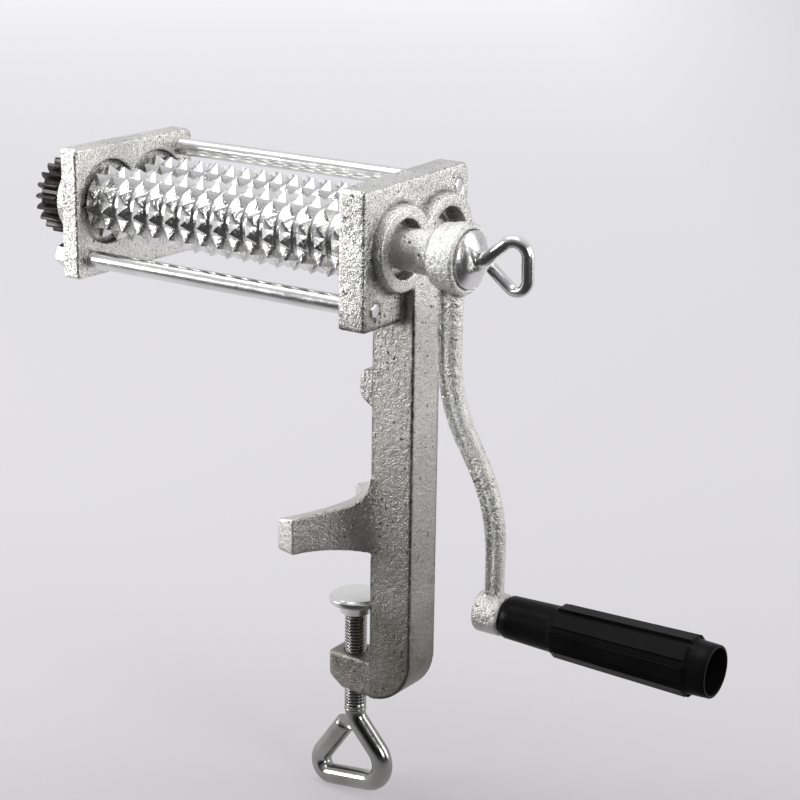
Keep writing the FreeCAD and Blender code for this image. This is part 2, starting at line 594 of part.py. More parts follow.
# ---- gears --------------------------------------------------------------------------------------
def spur_gear(axis, first_tooth):
    """Involute gear on a square seat; first_tooth is a tooth's angle from straight up, to the front."""
    pitch = GEAR_MODULE * GEAR_TEETH / 2
    base = pitch * math.cos(math.radians(PRESSURE_ANGLE))
    tip = pitch + GEAR_MODULE
    root = pitch - GEAR_ROOT_DEPTH * GEAR_MODULE
    involute = math.tan(math.radians(PRESSURE_ANGLE)) - math.radians(PRESSURE_ANGLE)
    half_tooth = (math.pi * GEAR_MODULE / 2 - GEAR_BACKLASH) / (2 * pitch)
    flank = []
    for share in FLANK_SHARES:
        radius = base + (tip - base) * share
        roll = math.acos(min(1.0, base / radius))
        flank.append((radius, half_tooth + involute - (math.tan(roll) - roll)))
    root_half = flank[0][1]

    def spot(radius, angle):
        return Vector(GEAR_FAR_X, axis[0] - radius * math.sin(angle), axis[1] + radius * math.cos(angle))

    corners = []
    for tooth in range(GEAR_TEETH):
        middle = math.radians(first_tooth) + tooth * 2 * math.pi / GEAR_TEETH
        corners.append(spot(root, middle - root_half))
        corners += [spot(radius, middle - half) for radius, half in flank]
        corners += [spot(radius, middle + half) for radius, half in reversed(flank)]
        corners.append(spot(root, middle + root_half))
    wheel = Part.Face(Part.makePolygon(corners + corners[:1])).extrude(Vector(GEAR_WIDTH, 0, 0))
    dish_floor = GEAR_FAR_X + GEAR_FACE_RECESS
    dish = rod_x(root - GEAR_MODULE, GEAR_FAR_X - SPARE, dish_floor, axis)
    dish = dish.cut(rod_x(GEAR_HUB_RADIUS, GEAR_FAR_X - 2 * SPARE, dish_floor + SPARE, axis))
    seat = square_x(SQUARE_SIDE + 2 * SQUARE_GAP, GEAR_FAR_X - SPARE, GEAR_NEAR_X + SPARE, axis)
    return wheel.cut([dish, seat])


def gear_washer(axis):
    washer = rod_x(GEAR_WASHER_RADIUS, GEAR_FAR_X - GEAR_WASHER_THICKNESS, GEAR_FAR_X, axis)
    hole = rod_x(GEAR_SCREW_RADIUS + PRESS_GAP, GEAR_FAR_X - GEAR_WIDTH, GEAR_FAR_X + SPARE, axis)
    return washer.cut(hole)


def gear_screw(axis):
    under_head = GEAR_FAR_X - GEAR_WASHER_THICKNESS
    head = hexagon_x(GEAR_SCREW_HEAD_FLATS, under_head - GEAR_SCREW_HEAD, under_head, axis)
    return head.fuse(rod_x(GEAR_SCREW_RADIUS, under_head - SPARE, GEAR_FAR_X + GEAR_SCREW_LENGTH, axis))


# ---- tie rods -----------------------------------------------------------------------------------
def tie_rod(axis):
    """Rod with shoulders that space the plates, and thinner ends through them."""
    thread_end = LEFT_OUTER_X - ROD_NUT_HEIGHT - ROD_THREAD_PROUD
    body = rod_x(ROD_RADIUS, LEFT_INNER_X, RIGHT_INNER_X, axis)
    return body.fuse(rod_x(ROD_SPIGOT_RADIUS, thread_end, RIGHT_OUTER_X, axis))


def rod_nuts():
    pair = []
    start = LEFT_OUTER_X - ROD_NUT_HEIGHT
    for axis in (FRONT_ROD, REAR_ROD):
        nut = hexagon_x(ROD_NUT_FLATS, start, LEFT_OUTER_X, axis, ROD_NUT_TURN)
        pair.append(nut.cut(rod_x(ROD_SPIGOT_RADIUS + PRESS_GAP, start - SPARE, LEFT_OUTER_X + SPARE, axis)))
    return Part.makeCompound(pair)


# ---- crank --------------------------------------------------------------------------------------
def arm_section(centre, scale):
    """Outline of the arm: a flat flange on the inner side and a rounded body on it."""
    flange = -ARM_HALF_THICKNESS * scale
    step = (ARM_FLANGE_THICKNESS - ARM_HALF_THICKNESS) * scale
    crown = ARM_HALF_THICKNESS * scale
    wide = ARM_FLANGE_HALF_WIDTH * scale
    slim = ARM_BODY_HALF_WIDTH * scale

    def spot(out, side):
        return centre + Vector(out, side, 0)

    shoulder = (crown + step) / 2
    edges = [line(spot(flange, -wide), spot(flange, wide)), line(spot(flange, wide), spot(step, wide)),
             line(spot(step, wide), spot(step, slim)), line(spot(step, slim), spot(shoulder, slim)),
             arc(spot(shoulder, slim), spot(crown, 0), spot(shoulder, -slim)),
             line(spot(shoulder, -slim), spot(step, -slim)), line(spot(step, -slim), spot(step, -wide)),
             line(spot(step, -wide), spot(flange, -wide))]
    return Part.Wire(edges)


def crank_arm():
    """S-shaped arm swept down from the hub to the eye."""
    lean = math.radians(ARM_LEAN)
    straight = (ARM_OFFSET - 2 * ARM_BEND_RADIUS * (1 - math.cos(lean))) / math.sin(lean)
    drop = 2 * ARM_BEND_RADIUS * math.sin(lean) + straight * math.cos(lean)
    low_z = GRIP_AXIS[1] + ARM_LOWER_BEND_Z
    high_z = low_z + drop
    bend = ARM_BEND_RADIUS
    top_x = ARM_TOP_X
    low_x = ARM_TOP_X + ARM_OFFSET
    y = FRONT_AXIS[0]

    def upper(angle):
        return on_side(top_x + bend * (1 - math.cos(angle)), high_z - bend * math.sin(angle), y)

    def lower(angle):
        return on_side(low_x - bend * (1 - math.cos(angle)), low_z + bend * math.sin(angle), y)

    start = on_side(top_x, ROLLER_Z - NECK_RADIUS, y)
    end = on_side(low_x, GRIP_AXIS[1] + EYE_RADIUS / 2, y)
    path = Part.Wire([line(start, upper(0)), arc(upper(0), upper(lean / 2), upper(lean)),
                      line(upper(lean), lower(lean)), arc(lower(lean), lower(lean / 2), lower(0)),
                      line(lower(0), end)])
    return path.makePipeShell([arm_section(start, 1.0), arm_section(end, ARM_TAPER)], True, False)


def crank():
    """Crank casting: neck, stepped hub, S-shaped arm and the eye that holds the handle bolt."""
    neck_start = BORE_FLOOR_X + NECK_END_GAP
    neck_root = HUB_START_X - NECK_FILLET
    shoulder = HUB_START_RADIUS - HUB_ROUNDING
    turned = revolve_x([(neck_start, 0), (neck_start, NECK_RADIUS), (neck_root, NECK_ROOT_RADIUS),
                        (HUB_START_X, NECK_ROOT_RADIUS + NECK_FILLET), (HUB_START_X, shoulder),
                        (HUB_START_X + HUB_ROUNDING, HUB_START_RADIUS), (HUB_STEP_X, HUB_STEP_RADIUS),
                        (HUB_STEP_X, HUB_STEP_RADIUS + HUB_STEP_HEIGHT),
                        (HUB_END_X - HUB_ROUNDING, HUB_END_RADIUS),
                        (HUB_END_X, HUB_END_RADIUS - HUB_ROUNDING), (HUB_END_X, 0)], FRONT_AXIS)
    eye = rod_x(EYE_RADIUS, EYE_START_X, EYE_END_X, GRIP_AXIS)
    eye = eye.makeFillet(HUB_ROUNDING, [edge for edge in eye.Edges if edge.Closed])
    body = turned.multiFuse([crank_arm(), eye])
    cuts = [square_x(SQUARE_SIDE + 2 * SQUARE_GAP, BORE_FLOOR_X, HUB_END_X + SPARE, FRONT_AXIS),
            rod_x(CRANK_WASHER_RADIUS + HUB_SEAT_GAP, HUB_SEAT_X, HUB_END_X + SPARE, FRONT_AXIS),
            rod_x(BOLT_RADIUS + PRESS_GAP, EYE_END_X - EYE_HOLE_DEPTH, EYE_END_X + SPARE, GRIP_AXIS)]
    return body.cut(cuts)


def crank_washer():
    """Polished domed washer that seats in the hub's rim."""
    rim_x = HUB_SEAT_X + CRANK_WASHER_RIM
    hole = THUMB_SCREW_RADIUS + RUNNING_GAP
    outline = [on_side(HUB_SEAT_X, hole), on_side(HUB_SEAT_X, CRANK_WASHER_RADIUS),
               on_side(rim_x, CRANK_WASHER_RADIUS), on_side(WASHER_CROWN_X, CRANK_WASHER_CROWN_RADIUS),
               on_side(WASHER_CROWN_X, hole)]
    bulge = on_side((rim_x + WASHER_CROWN_X * 2) / 3, (CRANK_WASHER_RADIUS + CRANK_WASHER_CROWN_RADIUS) / 2)
    edges = [line(outline[0], outline[1]), line(outline[1], outline[2]),
             arc(outline[2], bulge, outline[3]), line(outline[3], outline[4]), line(outline[4], outline[0])]
    disc = Part.Face(Part.Wire(edges)).revolve(Vector(0, 0, 0), Vector(1, 0, 0), 360)
    disc.translate(Vector(0, FRONT_AXIS[0], FRONT_AXIS[1]))
    return disc


def thumb_screw():
    """Screw with its end bent into a three-cornered finger loop in the plane of the crank."""
    root = WASHER_CROWN_X + THUMB_SHANK
    far_x = root + THUMB_LOOP_LENGTH
    points = [on_side(WASHER_CROWN_X - THUMB_SHANK, 0), on_side(root, 0),
              on_side(far_x, THUMB_LOOP_RISE, THUMB_END_PASS / 3),
              on_side(far_x, -THUMB_LOOP_DROP, THUMB_END_PASS * 2 / 3),
              on_side(root + THUMB_END_REACH, -THUMB_END_DROP, THUMB_END_PASS)]
    bends = [THUMB_ROOT_BEND, THUMB_LOOP_BEND, THUMB_LOOP_BEND]
    loop = round_bar(bent_wire(points, bends), THUMB_WIRE_RADIUS)
    screw = rod_x(THUMB_SCREW_RADIUS, THUMB_SCREW_START_X, WASHER_CROWN_X, (0, 0)).fuse(loop)
    screw.translate(Vector(0, FRONT_AXIS[0], FRONT_AXIS[1]))
    return screw


# ---- grip ---------------------------------------------------------------------------------------
def grip():
    """Hollow sleeve with broad flat ribs, open at its outer end."""
    start = GRIP_START_X
    end = GRIP_END_X
    rib_start = start + GRIP_RIB_START
    rib_end = start + GRIP_RIB_END
    outer = revolve_x([(start, 0), (start, GRIP_START_RADIUS - GRIP_END_CHAMFER),
                       (start + GRIP_END_CHAMFER, GRIP_START_RADIUS), (rib_start, GRIP_NECK_RADIUS),
                       (rib_end, GRIP_WIDE_RADIUS), (end, GRIP_END_RADIUS), (end, 0)], GRIP_AXIS)
    ribs = []
    for rib in range(GRIP_RIB_COUNT):
        middle = 360.0 * rib / GRIP_RIB_COUNT
        ribs.append(grip_rib(rib_start, rib_end, middle))
    cavity = revolve_x([(GRIP_FLOOR_X, 0), (GRIP_FLOOR_X, GRIP_END_RADIUS - GRIP_WALL - GRIP_CAVITY_DRAFT),
                        (end + SPARE, GRIP_END_RADIUS - GRIP_WALL), (end + SPARE, 0)], GRIP_AXIS)
    bore = rod_x(BOLT_RADIUS + RUNNING_GAP, start - SPARE, end, GRIP_AXIS)
    return outer.multiFuse(ribs).cut([cavity, bore])


def grip_rib(start, end, middle):
    """One raised flat along the grip, growing with the sleeve's taper."""
    half = math.radians(GRIP_RIB_ANGLE / 2)
    wires = []
    for x, radius in ((start, GRIP_NECK_RADIUS), (end, GRIP_WIDE_RADIUS)):
        inner = radius - GRIP_WALL
        outer = (radius + GRIP_RIB_HEIGHT) / math.cos(half)
        corners = []
        for reach, turn in ((inner, -half), (outer, -half), (outer, half), (inner, half)):
            angle = math.radians(middle) + turn
            out = Vector(0, math.sin(angle), math.cos(angle)) * reach
            corners.append(Vector(x, GRIP_AXIS[0], GRIP_AXIS[1]) + out)
        wires.append(Part.makePolygon(corners + corners[:1]))
    return Part.makeLoft(wires, True, True)


def handle_bolt():
    """Shouldered bolt that the grip turns on; its head sits inside the grip's open end."""
    head_x = GRIP_FLOOR_X + SIDE_GAP + BOLT_WASHER_THICKNESS
    head_end = head_x + BOLT_HEAD_HEIGHT
    shank = rod_x(BOLT_RADIUS, EYE_END_X - EYE_HOLE_DEPTH, head_x + SPARE, GRIP_AXIS)
    head = rod_x(BOLT_HEAD_RADIUS, head_x, head_end, GRIP_AXIS)
    corner = Vector(head_end - BOLT_SLOT_DEPTH, -BOLT_HEAD_RADIUS, -BOLT_SLOT_WIDTH / 2)
    slot = Part.makeBox(BOLT_HEAD_HEIGHT, 2 * BOLT_HEAD_RADIUS, BOLT_SLOT_WIDTH, corner)
    slot.translate(Vector(0, GRIP_AXIS[0], GRIP_AXIS[1]))
    return shank.fuse(head).cut(slot)


def handle_washer():
    start = GRIP_FLOOR_X + SIDE_GAP
    end = start + BOLT_WASHER_THICKNESS
    disc = rod_x(BOLT_WASHER_RADIUS, start, end, GRIP_AXIS)
    return disc.cut(rod_x(BOLT_RADIUS + PRESS_GAP, start - SPARE, end + SPARE, GRIP_AXIS))


# ---- clamp --------------------------------------------------------------------------------------
def clamp_screw():
    """Screw with a thin tip for the pad and its lower end bent into a three-cornered handle."""
    root = THREAD_END - CLAMP_ROOT_DROP
    tip_top = PAD_UNDER - SIDE_GAP
    points = [on_side(0, THREAD_END + CLAMP_ROOT_DROP), on_side(0, root),
              on_side(CLAMP_RIGHT_REACH, root - CLAMP_RIGHT_DROP, CLAMP_END_PASS / 6),
              on_side(-CLAMP_LEFT_REACH, root - CLAMP_LEFT_DROP, CLAMP_END_PASS * 5 / 6),
              on_side(-CLAMP_END_REACH, root - CLAMP_END_DROP, CLAMP_END_PASS)]
    bends = [CLAMP_ROOT_BEND, CLAMP_RIGHT_BEND, CLAMP_LEFT_BEND]
    loop = round_bar(bent_wire(points, bends), CLAMP_WIRE_RADIUS)
    thread = rod_z(CLAMP_SCREW_RADIUS, THREAD_END, SCREW_SHOULDER)
    tip = rod_z(CLAMP_TIP_RADIUS, SCREW_SHOULDER - SPARE, tip_top)
    return thread.multiFuse([loop, tip])


def clamp_pad():
    """Round pressure pad with a socket for the screw's tip."""
    low = PAD_UNDER - PAD_SOCKET_HEIGHT
    hole = CLAMP_TIP_RADIUS + RUNNING_GAP
    return revolve_z([(0, PAD_TOP), (PAD_RADIUS - PAD_CHAMFER, PAD_TOP), (PAD_RADIUS, PAD_TOP - PAD_CHAMFER),
                      (PAD_RADIUS, PAD_UNDER), (PAD_SOCKET_RADIUS + PAD_SOCKET_FLARE, PAD_UNDER),
                      (PAD_SOCKET_RADIUS, low), (hole, low), (hole, PAD_UNDER), (0, PAD_UNDER)])


# ---- nodes --------------------------------------------------------------------------------------
os.makedirs("parts", exist_ok=True)
save("main_frame", main_frame())
save("left_plate", left_plate())
save("right_bushes", bushes(RIGHT_POCKET_X, BORE_FLOOR_X))
save("left_bushes", bushes(LEFT_BOSS_X, LEFT_POCKET_X))
save("front_drum", drum(FRONT_AXIS, FRONT_TOOTH_PHASE))
save("rear_drum", drum(REAR_AXIS, REAR_TOOTH_PHASE))
save("front_shaft", front_shaft())
save("rear_shaft", rear_shaft())
save("front_gear", spur_gear(FRONT_AXIS, GEAR_PHASE))
# A tooth of one gear points at a gap of the other where they meet.
save("rear_gear", spur_gear(REAR_AXIS, 180.0 / GEAR_TEETH - GEAR_PHASE))
for side, axis in (("front", FRONT_AXIS), ("rear", REAR_AXIS)):
    save(side + "_gear_washer", gear_washer(axis))
    save(side + "_gear_screw", gear_screw(axis))
save("front_tie_rod", tie_rod(FRONT_ROD))
save("rear_tie_rod", tie_rod(REAR_ROD))
save("tie_rod_nuts", rod_nuts())
save("crank", crank())
save("crank_washer", crank_washer())
save("thumb_screw", thumb_screw())
save("grip", grip())
save("handle_bolt", handle_bolt())
save("handle_washer", handle_washer())
save("clamp_screw", clamp_screw())
save("clamp_pad", clamp_pad())
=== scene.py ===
"""Looks of a hand-cranked meat tenderizer with a table clamp.

Pieces are shaped in millimetres and scaled to metres as the last step. +X runs along the rollers
towards the crank, -Y is the side the cook faces, +Z is up, and the table top's plane is z 0.
"""

import math

import bmesh
import bpy
import numpy as np
from mathutils import Matrix, Vector


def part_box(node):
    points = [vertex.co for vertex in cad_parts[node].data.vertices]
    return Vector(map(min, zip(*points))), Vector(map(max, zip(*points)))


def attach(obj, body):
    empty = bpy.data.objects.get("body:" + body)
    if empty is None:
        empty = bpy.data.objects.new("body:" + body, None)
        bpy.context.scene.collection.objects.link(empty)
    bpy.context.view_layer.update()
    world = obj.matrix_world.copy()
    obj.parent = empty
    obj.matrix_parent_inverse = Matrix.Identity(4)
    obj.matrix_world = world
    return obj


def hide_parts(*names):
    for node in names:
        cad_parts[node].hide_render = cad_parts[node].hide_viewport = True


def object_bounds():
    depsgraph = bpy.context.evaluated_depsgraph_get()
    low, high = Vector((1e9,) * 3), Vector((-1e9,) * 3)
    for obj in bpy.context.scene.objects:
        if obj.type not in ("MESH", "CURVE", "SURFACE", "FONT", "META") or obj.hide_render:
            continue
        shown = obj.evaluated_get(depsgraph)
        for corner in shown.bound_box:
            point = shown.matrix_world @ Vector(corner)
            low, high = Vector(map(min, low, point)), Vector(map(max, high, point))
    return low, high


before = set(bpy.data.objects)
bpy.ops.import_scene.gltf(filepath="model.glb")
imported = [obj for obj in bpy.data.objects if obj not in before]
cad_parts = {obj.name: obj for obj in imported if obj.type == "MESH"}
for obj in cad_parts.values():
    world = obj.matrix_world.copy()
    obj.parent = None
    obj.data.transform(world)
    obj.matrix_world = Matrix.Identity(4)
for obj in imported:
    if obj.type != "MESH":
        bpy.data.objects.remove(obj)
cad_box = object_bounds()

MM = 0.001
TURN = 2 * math.pi

# ---- sizes, in millimetres ----
PLATE_FRONT, RIGHT_REAR, LEFT_REAR = -38.0, 38.4, 41.0
PLATE_LOW, PLATE_TOP, RIGHT_RISE = 106.0, 164.5, 2.2
RIGHT_INNER, RIGHT_OUTER = 16.3, 29.7
LEFT_INNER, LEFT_OUTER = -125.2, -134.6
BOSS_FACE, LEFT_BOSS_FACE = 35.3, -141.1
BOSS_RADIUS, BORE_RADIUS, BORE_FLOOR = 18.2, 12.5, 28.3
POCKET_RADIUS, RIGHT_POCKET, LEFT_POCKET = 18.9, 23.09, -128.79
BUSH_HOLE, BUSH_OUTSIDE, BUSH_BORE, JOURNAL = 9.26, 9.25, 7.05, 7.0
ROLLER_Y, ROLLER_Z = 16.0, 138.4
FRONT_AXIS, REAR_AXIS = ROLLER_AXES = (-ROLLER_Y, ROLLER_Z), (ROLLER_Y, ROLLER_Z)
CLAMP_AXIS = (0.0, 0.0)

FRONT_ROD, REAR_ROD = ROD_AXES = (-30.0, 114.6), (31.2, 157.0)
ROD_RADIUS, SPIGOT_RADIUS, ROD_HOLE_RADIUS, ROD_LEFT_END = 4.0, 3.0, 2.85, -142.8
ROD_GROOVE_START, ROD_GROOVE_END, ROD_GROOVE_RADIUS = 1.3, 2.1, 3.3
ROD_RING_RADIUS, ROD_RING_DEPTH = 3.75, 0.9

COLUMN_HALF, COLUMN_INNER, COLUMN_BOTTOM, TOE_RADIUS = 10.0, 14.2, -68.5, 21.0
ARM_TOP, ARM_END = -52.0, -9.6
SCREW_HOLE_RADIUS = 5.15

DRUM_START, DRUM_END, DRUM_BORE, FIRST_RING = -128.39, 22.69, 8.01, -124.29
RINGS, RING_PITCH, TEETH_AROUND = 17, 8.93, 12
FRONT_TEETH_TURN, REAR_TEETH_TURN = 4.5, 5.0  # degrees
TIP_RADIUS, FOOT_RADIUS, GROOVE_RADIUS, TOOTH_LENGTH = 16.8, 13.6, 12.6, 5.8
SQUARE, SOCKET_HALF, FRONT_SHAFT_END = 9.0, 4.55, 62.2

GEAR_NEAR, GEAR_FAR, GEAR_TEETH, GEAR_MODULE = -142.3, -154.4, 20, 1.6
GEAR_TURN, HALF_GEAR_TOOTH = 13.0, 9.0  # degrees

HUB_START, HUB_STEP, HUB_END, HUB_SEAT = 52.2, 59.1, 65.8, 64.2
WASHER_RADIUS, WASHER_CROWN = 11.9, 69.8
GRIP_AXIS = (-ROLLER_Y, -9.2)
GRIP_START, GRIP_END, GRIP_BORE, GRIP_CAVITY = 88.3, 182.9, 4.05, 40.0
BOLT_START, BOLT_RADIUS = 77.9, 4.0
THREAD_END, SCREW_SHOULDER = -81.0, -34.3


# ---- outlines ----
def rounded(points, radii, steps=4):
    """Closed outline of 2-D points with its corners turned into arcs; radii is a number or one per corner."""
    count = len(points)
    if not hasattr(radii, "__len__"):
        radii = [radii] * count
    out = []
    for i in range(count):
        here = Vector(points[i])
        back = Vector(points[i - 1]) - here
        on = Vector(points[(i + 1) % count]) - here
        turn = math.pi - back.angle(on, math.pi)
        if radii[i] <= 0 or turn < 0.02:
            out.append(tuple(here))
            continue
        run = min(radii[i] * math.tan(turn / 2), back.length * 0.49, on.length * 0.49)
        radius = run / math.tan(turn / 2)
        start, end = here + back.normalized() * run, here + on.normalized() * run
        centre = here + (back.normalized() + on.normalized()).normalized() * radius / math.cos(turn / 2)
        for k in range(steps + 1):
            # The arc is walked by mixing directions from the centre, which is even enough for small turns.
            mixed = (start - centre).lerp(end - centre, k / steps).normalized() * radius
            out.append(tuple(centre + mixed))
    return out


def arc_through(start, middle, end, steps):
    """Points of the circle's arc from start through middle to end, ends included."""
    (ax, ay), (bx, by), (cx, cy) = start, middle, end
    d = 2 * (ax * (by - cy) + bx * (cy - ay) + cx * (ay - by))
    a2, b2, c2 = ax * ax + ay * ay, bx * bx + by * by, cx * cx + cy * cy
    ux = (a2 * (by - cy) + b2 * (cy - ay) + c2 * (ay - by)) / d
    uy = (a2 * (cx - bx) + b2 * (ax - cx) + c2 * (bx - ax)) / d
    radius = math.hypot(ax - ux, ay - uy)
    first, through, last = (math.atan2(y - uy, x - ux) for x, y in (start, middle, end))
    sweep = (last - first) % TURN
    if (through - first) % TURN > sweep:
        sweep -= TURN
    angles = [first + sweep * k / steps for k in range(steps + 1)]
    return [(ux + radius * math.cos(angle), uy + radius * math.sin(angle)) for angle in angles]


# ---- mesh making ----
def add_object(name, mesh):
    obj = bpy.data.objects.new(name, mesh)
    bpy.context.scene.collection.objects.link(obj)
    return obj


def from_bmesh(name, bm, recalculate=True):
    if recalculate:
        bmesh.ops.recalc_face_normals(bm, faces=bm.faces)
    mesh = bpy.data.meshes.new(name)
    bm.to_mesh(mesh)
    bm.free()
    return add_object(name, mesh)


def place(point, along):
    """Puts (along, across, up) on the axes for a shape whose length runs along X, Y or Z."""
    a, b, c = point
    return Vector({"X": (a, b, c), "Y": (b, a, c), "Z": (b, c, a)}[along])


def join_rows(bm, rows, closed=False, around=True):
    """Faces from each row of points to the next; a row of one point makes triangles."""
    for low, high in zip(rows, rows[1:] + rows[:1] if closed else rows[1:]):
        count = max(len(low), len(high))
        for k in range(count if around else count - 1):
            n = (k + 1) % count
            corners = [low[k % len(low)], low[n % len(low)], high[n % len(high)], high[k % len(high)]]
            unique = list(dict.fromkeys(corners))
            if len(unique) > 2:
                bm.faces.new(unique)


def turned(name, outline, axis=CLAMP_AXIS, along="X", steps=96, closed=False):
    """Surface of revolution of (along, radius) points. A closed outline makes a ring with a bore."""
    bm = bmesh.new()
    rows = []
    for at, radius in outline:
        angles = [0.0] if radius < 1e-6 else [TURN * k / steps for k in range(steps)]
        radius = 0.0 if radius < 1e-6 else radius
        rows.append([bm.verts.new(place((at, axis[0] + radius * math.sin(angle), axis[1] + radius * math.cos(angle)),
                                        along)) for angle in angles])
    join_rows(bm, rows, closed)
    return from_bmesh(name, bm)


def cylinder(name, start, end, radius, axis, soften=None, along="X", steps=96):
    """Solid round piece; soften is how far its rim is rounded at the start and at the end."""
    outline = [(start, 0), (start, radius), (end, radius), (end, 0)]
    return turned(name, rounded(outline, [0, *soften, 0]) if soften else outline, axis, along, steps)


def prism(name, outline, along, low, high, bevel=0.0, segments=3):
    """Extruded outline; its points are the two coordinates left after along, in the order x, y, z."""
    bm = bmesh.new()
    ends = [[bm.verts.new(place((at, a, b), along)) for a, b in outline] for at in (low, high)]
    bm.faces.new(ends[0])
    bm.faces.new(ends[1][::-1])
    for k in range(len(outline)):
        n = (k + 1) % len(outline)
        bm.faces.new([ends[0][k], ends[1][k], ends[1][n], ends[0][n]])
    bmesh.ops.recalc_face_normals(bm, faces=bm.faces)
    if bevel:
        sharp = [e for e in bm.edges if len(e.link_faces) == 2 and e.calc_face_angle() > 0.6]
        bmesh.ops.bevel(bm, geom=sharp, offset=bevel, segments=segments, profile=0.5, affect="EDGES",
                        clamp_overlap=True)
    return from_bmesh(name, bm)


def block(name, low, high):
    outline = [(low[1], low[2]), (high[1], low[2]), (high[1], high[2]), (low[1], high[2])]
    return prism(name, outline, "X", low[0], high[0])


def bent_path(points, bends, step):
    """Points along straight runs joined by tangent arcs, one bend radius for each inner point."""
    points = [Vector(p) for p in points]
    line = [points[0]]
    for before, corner, after, bend in zip(points, points[1:], points[2:], bends):
        into, out = (corner - before).normalized(), (after - corner).normalized()
        turn = into.angle(out)
        run = bend * math.tan(turn / 2)
        start, inward = corner - into * run, (out - into).normalized()
        centre = corner + inward * bend / math.cos(turn / 2)
        spokes = start - centre
        hinge = into.cross(out).normalized()
        steps = max(4, int(bend * turn / step))
        for k in range(steps + 1):
            line.append(centre + Matrix.Rotation(turn * k / steps, 3, hinge) @ spokes)
    line.append(points[-1])
    dense = [line[0]]
    for a, b in zip(line, line[1:]):
        parts = max(1, int((b - a).length / (2 * step)))
        dense += [a.lerp(b, (k + 1) / parts) for k in range(parts)]
    return dense


def round_bar(name, path, radius, steps=40, cap=0.5):
    """Bar of round section along a path, its two cut ends with a small chamfer."""
    bm = bmesh.new()
    heading = (path[1] - path[0]).normalized()
    side = heading.orthogonal().normalized()
    rows = []

    def add_ring(centre, size):
        across = heading.cross(side)
        rows.append([bm.verts.new(centre + (side * math.cos(angle) + across * math.sin(angle)) * size)
                     for angle in [TURN * k / steps for k in range(steps)]])

    for i, point in enumerate(path):
        new = (path[min(i + 1, len(path) - 1)] - path[max(i - 1, 0)]).normalized()
        side = heading.rotation_difference(new) @ side
        side = (side - new * side.dot(new)).normalized()
        heading = new
        if i == 0:
            add_ring(point - heading * cap, radius - cap)
        add_ring(point, radius)
        if i == len(path) - 1:
            add_ring(point + heading * cap, radius - cap)
    join_rows(bm, rows)
    bm.faces.new(rows[0])
    bm.faces.new(rows[-1])
    return from_bmesh(name, bm)


def evaluated(obj):
    """Keeps what an object's modifiers make as its plain mesh."""
    bpy.context.view_layer.update()
    graph = bpy.context.evaluated_depsgraph_get()
    mesh = bpy.data.meshes.new_from_object(obj.evaluated_get(graph))
    obj.modifiers.clear()
    obj.data = mesh


def carve(obj, tools, operation="DIFFERENCE"):
    """Cuts the tools out of an object, or keeps what it shares with them."""
    for tool in tools:
        modifier = obj.modifiers.new("carve", "BOOLEAN")
        modifier.operation = operation
        modifier.solver = "EXACT"
        modifier.object = tool
    evaluated(obj)


def drop(objects):
    for obj in objects:
        bpy.data.objects.remove(obj)


def joined(name, objects):
    """One object from several; the pieces keep their own surfaces."""
    bm = bmesh.new()
    for obj in objects:
        bm.from_mesh(obj.data)
    drop(objects)
    return from_bmesh(name, bm, recalculate=False)


# ---- cast skin: one closed surface with soft edges and fillets ----
def mesh_arrays(mesh):
    """Each vertex's place, and the vertices at both ends of each edge."""
    co = np.empty(len(mesh.vertices) * 3)
    mesh.vertices.foreach_get("co", co)
    ends = np.empty(len(mesh.edges) * 2, np.int64)
    mesh.edges.foreach_get("vertices", ends)
    ends = ends.reshape(-1, 2)
    return co.reshape(-1, 3), ends[:, 0], ends[:, 1]


def neighbour_mean(values, a, b):
    """Mean of each vertex's neighbours, for an array of one row a vertex."""
    count = len(values)
    share = np.bincount(a, minlength=count) + np.bincount(b, minlength=count)
    table = values.reshape(count, -1)
    total = np.empty_like(table)
    for k in range(table.shape[1]):
        total[:, k] = np.bincount(a, table[b, k], count) + np.bincount(b, table[a, k], count)
    return (total / np.maximum(share, 1)[:, None]).reshape(values.shape)


def hollowness(mesh, co, a, b):
    """How far each vertex lies under the mean of its neighbours: above 0 in a hollow, below 0 on an edge."""
    mesh.vertices.foreach_set("co", co.ravel())
    mesh.update()
    normals = np.empty(len(co) * 3)
    mesh.vertex_normals.foreach_get("vector", normals)
    return np.einsum("ij,ij->i", neighbour_mean(co, a, b) - co, normals.reshape(-1, 3))


def cast(name, shells, grid, fillet=10):
    """Melts overlapping shells into one skin as fine as grid, rounds its edges and fills its inner corners."""
    smoothing, deep, spread, filling = 0.5, 0.12, 1.1, 0.6
    obj = joined(name, shells)
    modifier = obj.modifiers.new("skin", "REMESH")
    modifier.mode = "VOXEL"
    modifier.voxel_size = grid
    modifier.adaptivity = 0.0
    evaluated(obj)
    mesh = obj.data
    co, a, b = mesh_arrays(mesh)
    for _ in range(2):
        co += smoothing * (neighbour_mean(co, a, b) - co)
    hollow = np.clip(hollowness(mesh, co, a, b) / (deep * grid), 0, 1)
    for _ in range(4):
        hollow = np.maximum(hollow, neighbour_mean(hollow, a, b) * spread)
    hollow = np.clip(hollow, 0, 1)[:, None]
    for _ in range(fillet):
        co += filling * hollow * (neighbour_mean(co, a, b) - co)
    mark_edges(mesh, co, a, b, grid)
    return obj


def mark_edges(mesh, co, a, b, grid):
    """Stores where the skin has edges and hollows, for the materials to read."""
    contrast = 22.0
    bend = hollowness(mesh, co, a, b) / grid
    for _ in range(2):
        bend = 0.5 * bend + 0.5 * neighbour_mean(bend, a, b)
    for label, values in (("edge", -bend * contrast), ("hollow", bend * contrast)):
        layer = mesh.attributes.new(label, "FLOAT", "POINT")
        layer.data.foreach_set("value", np.clip(values, 0, 1).astype(np.float32))


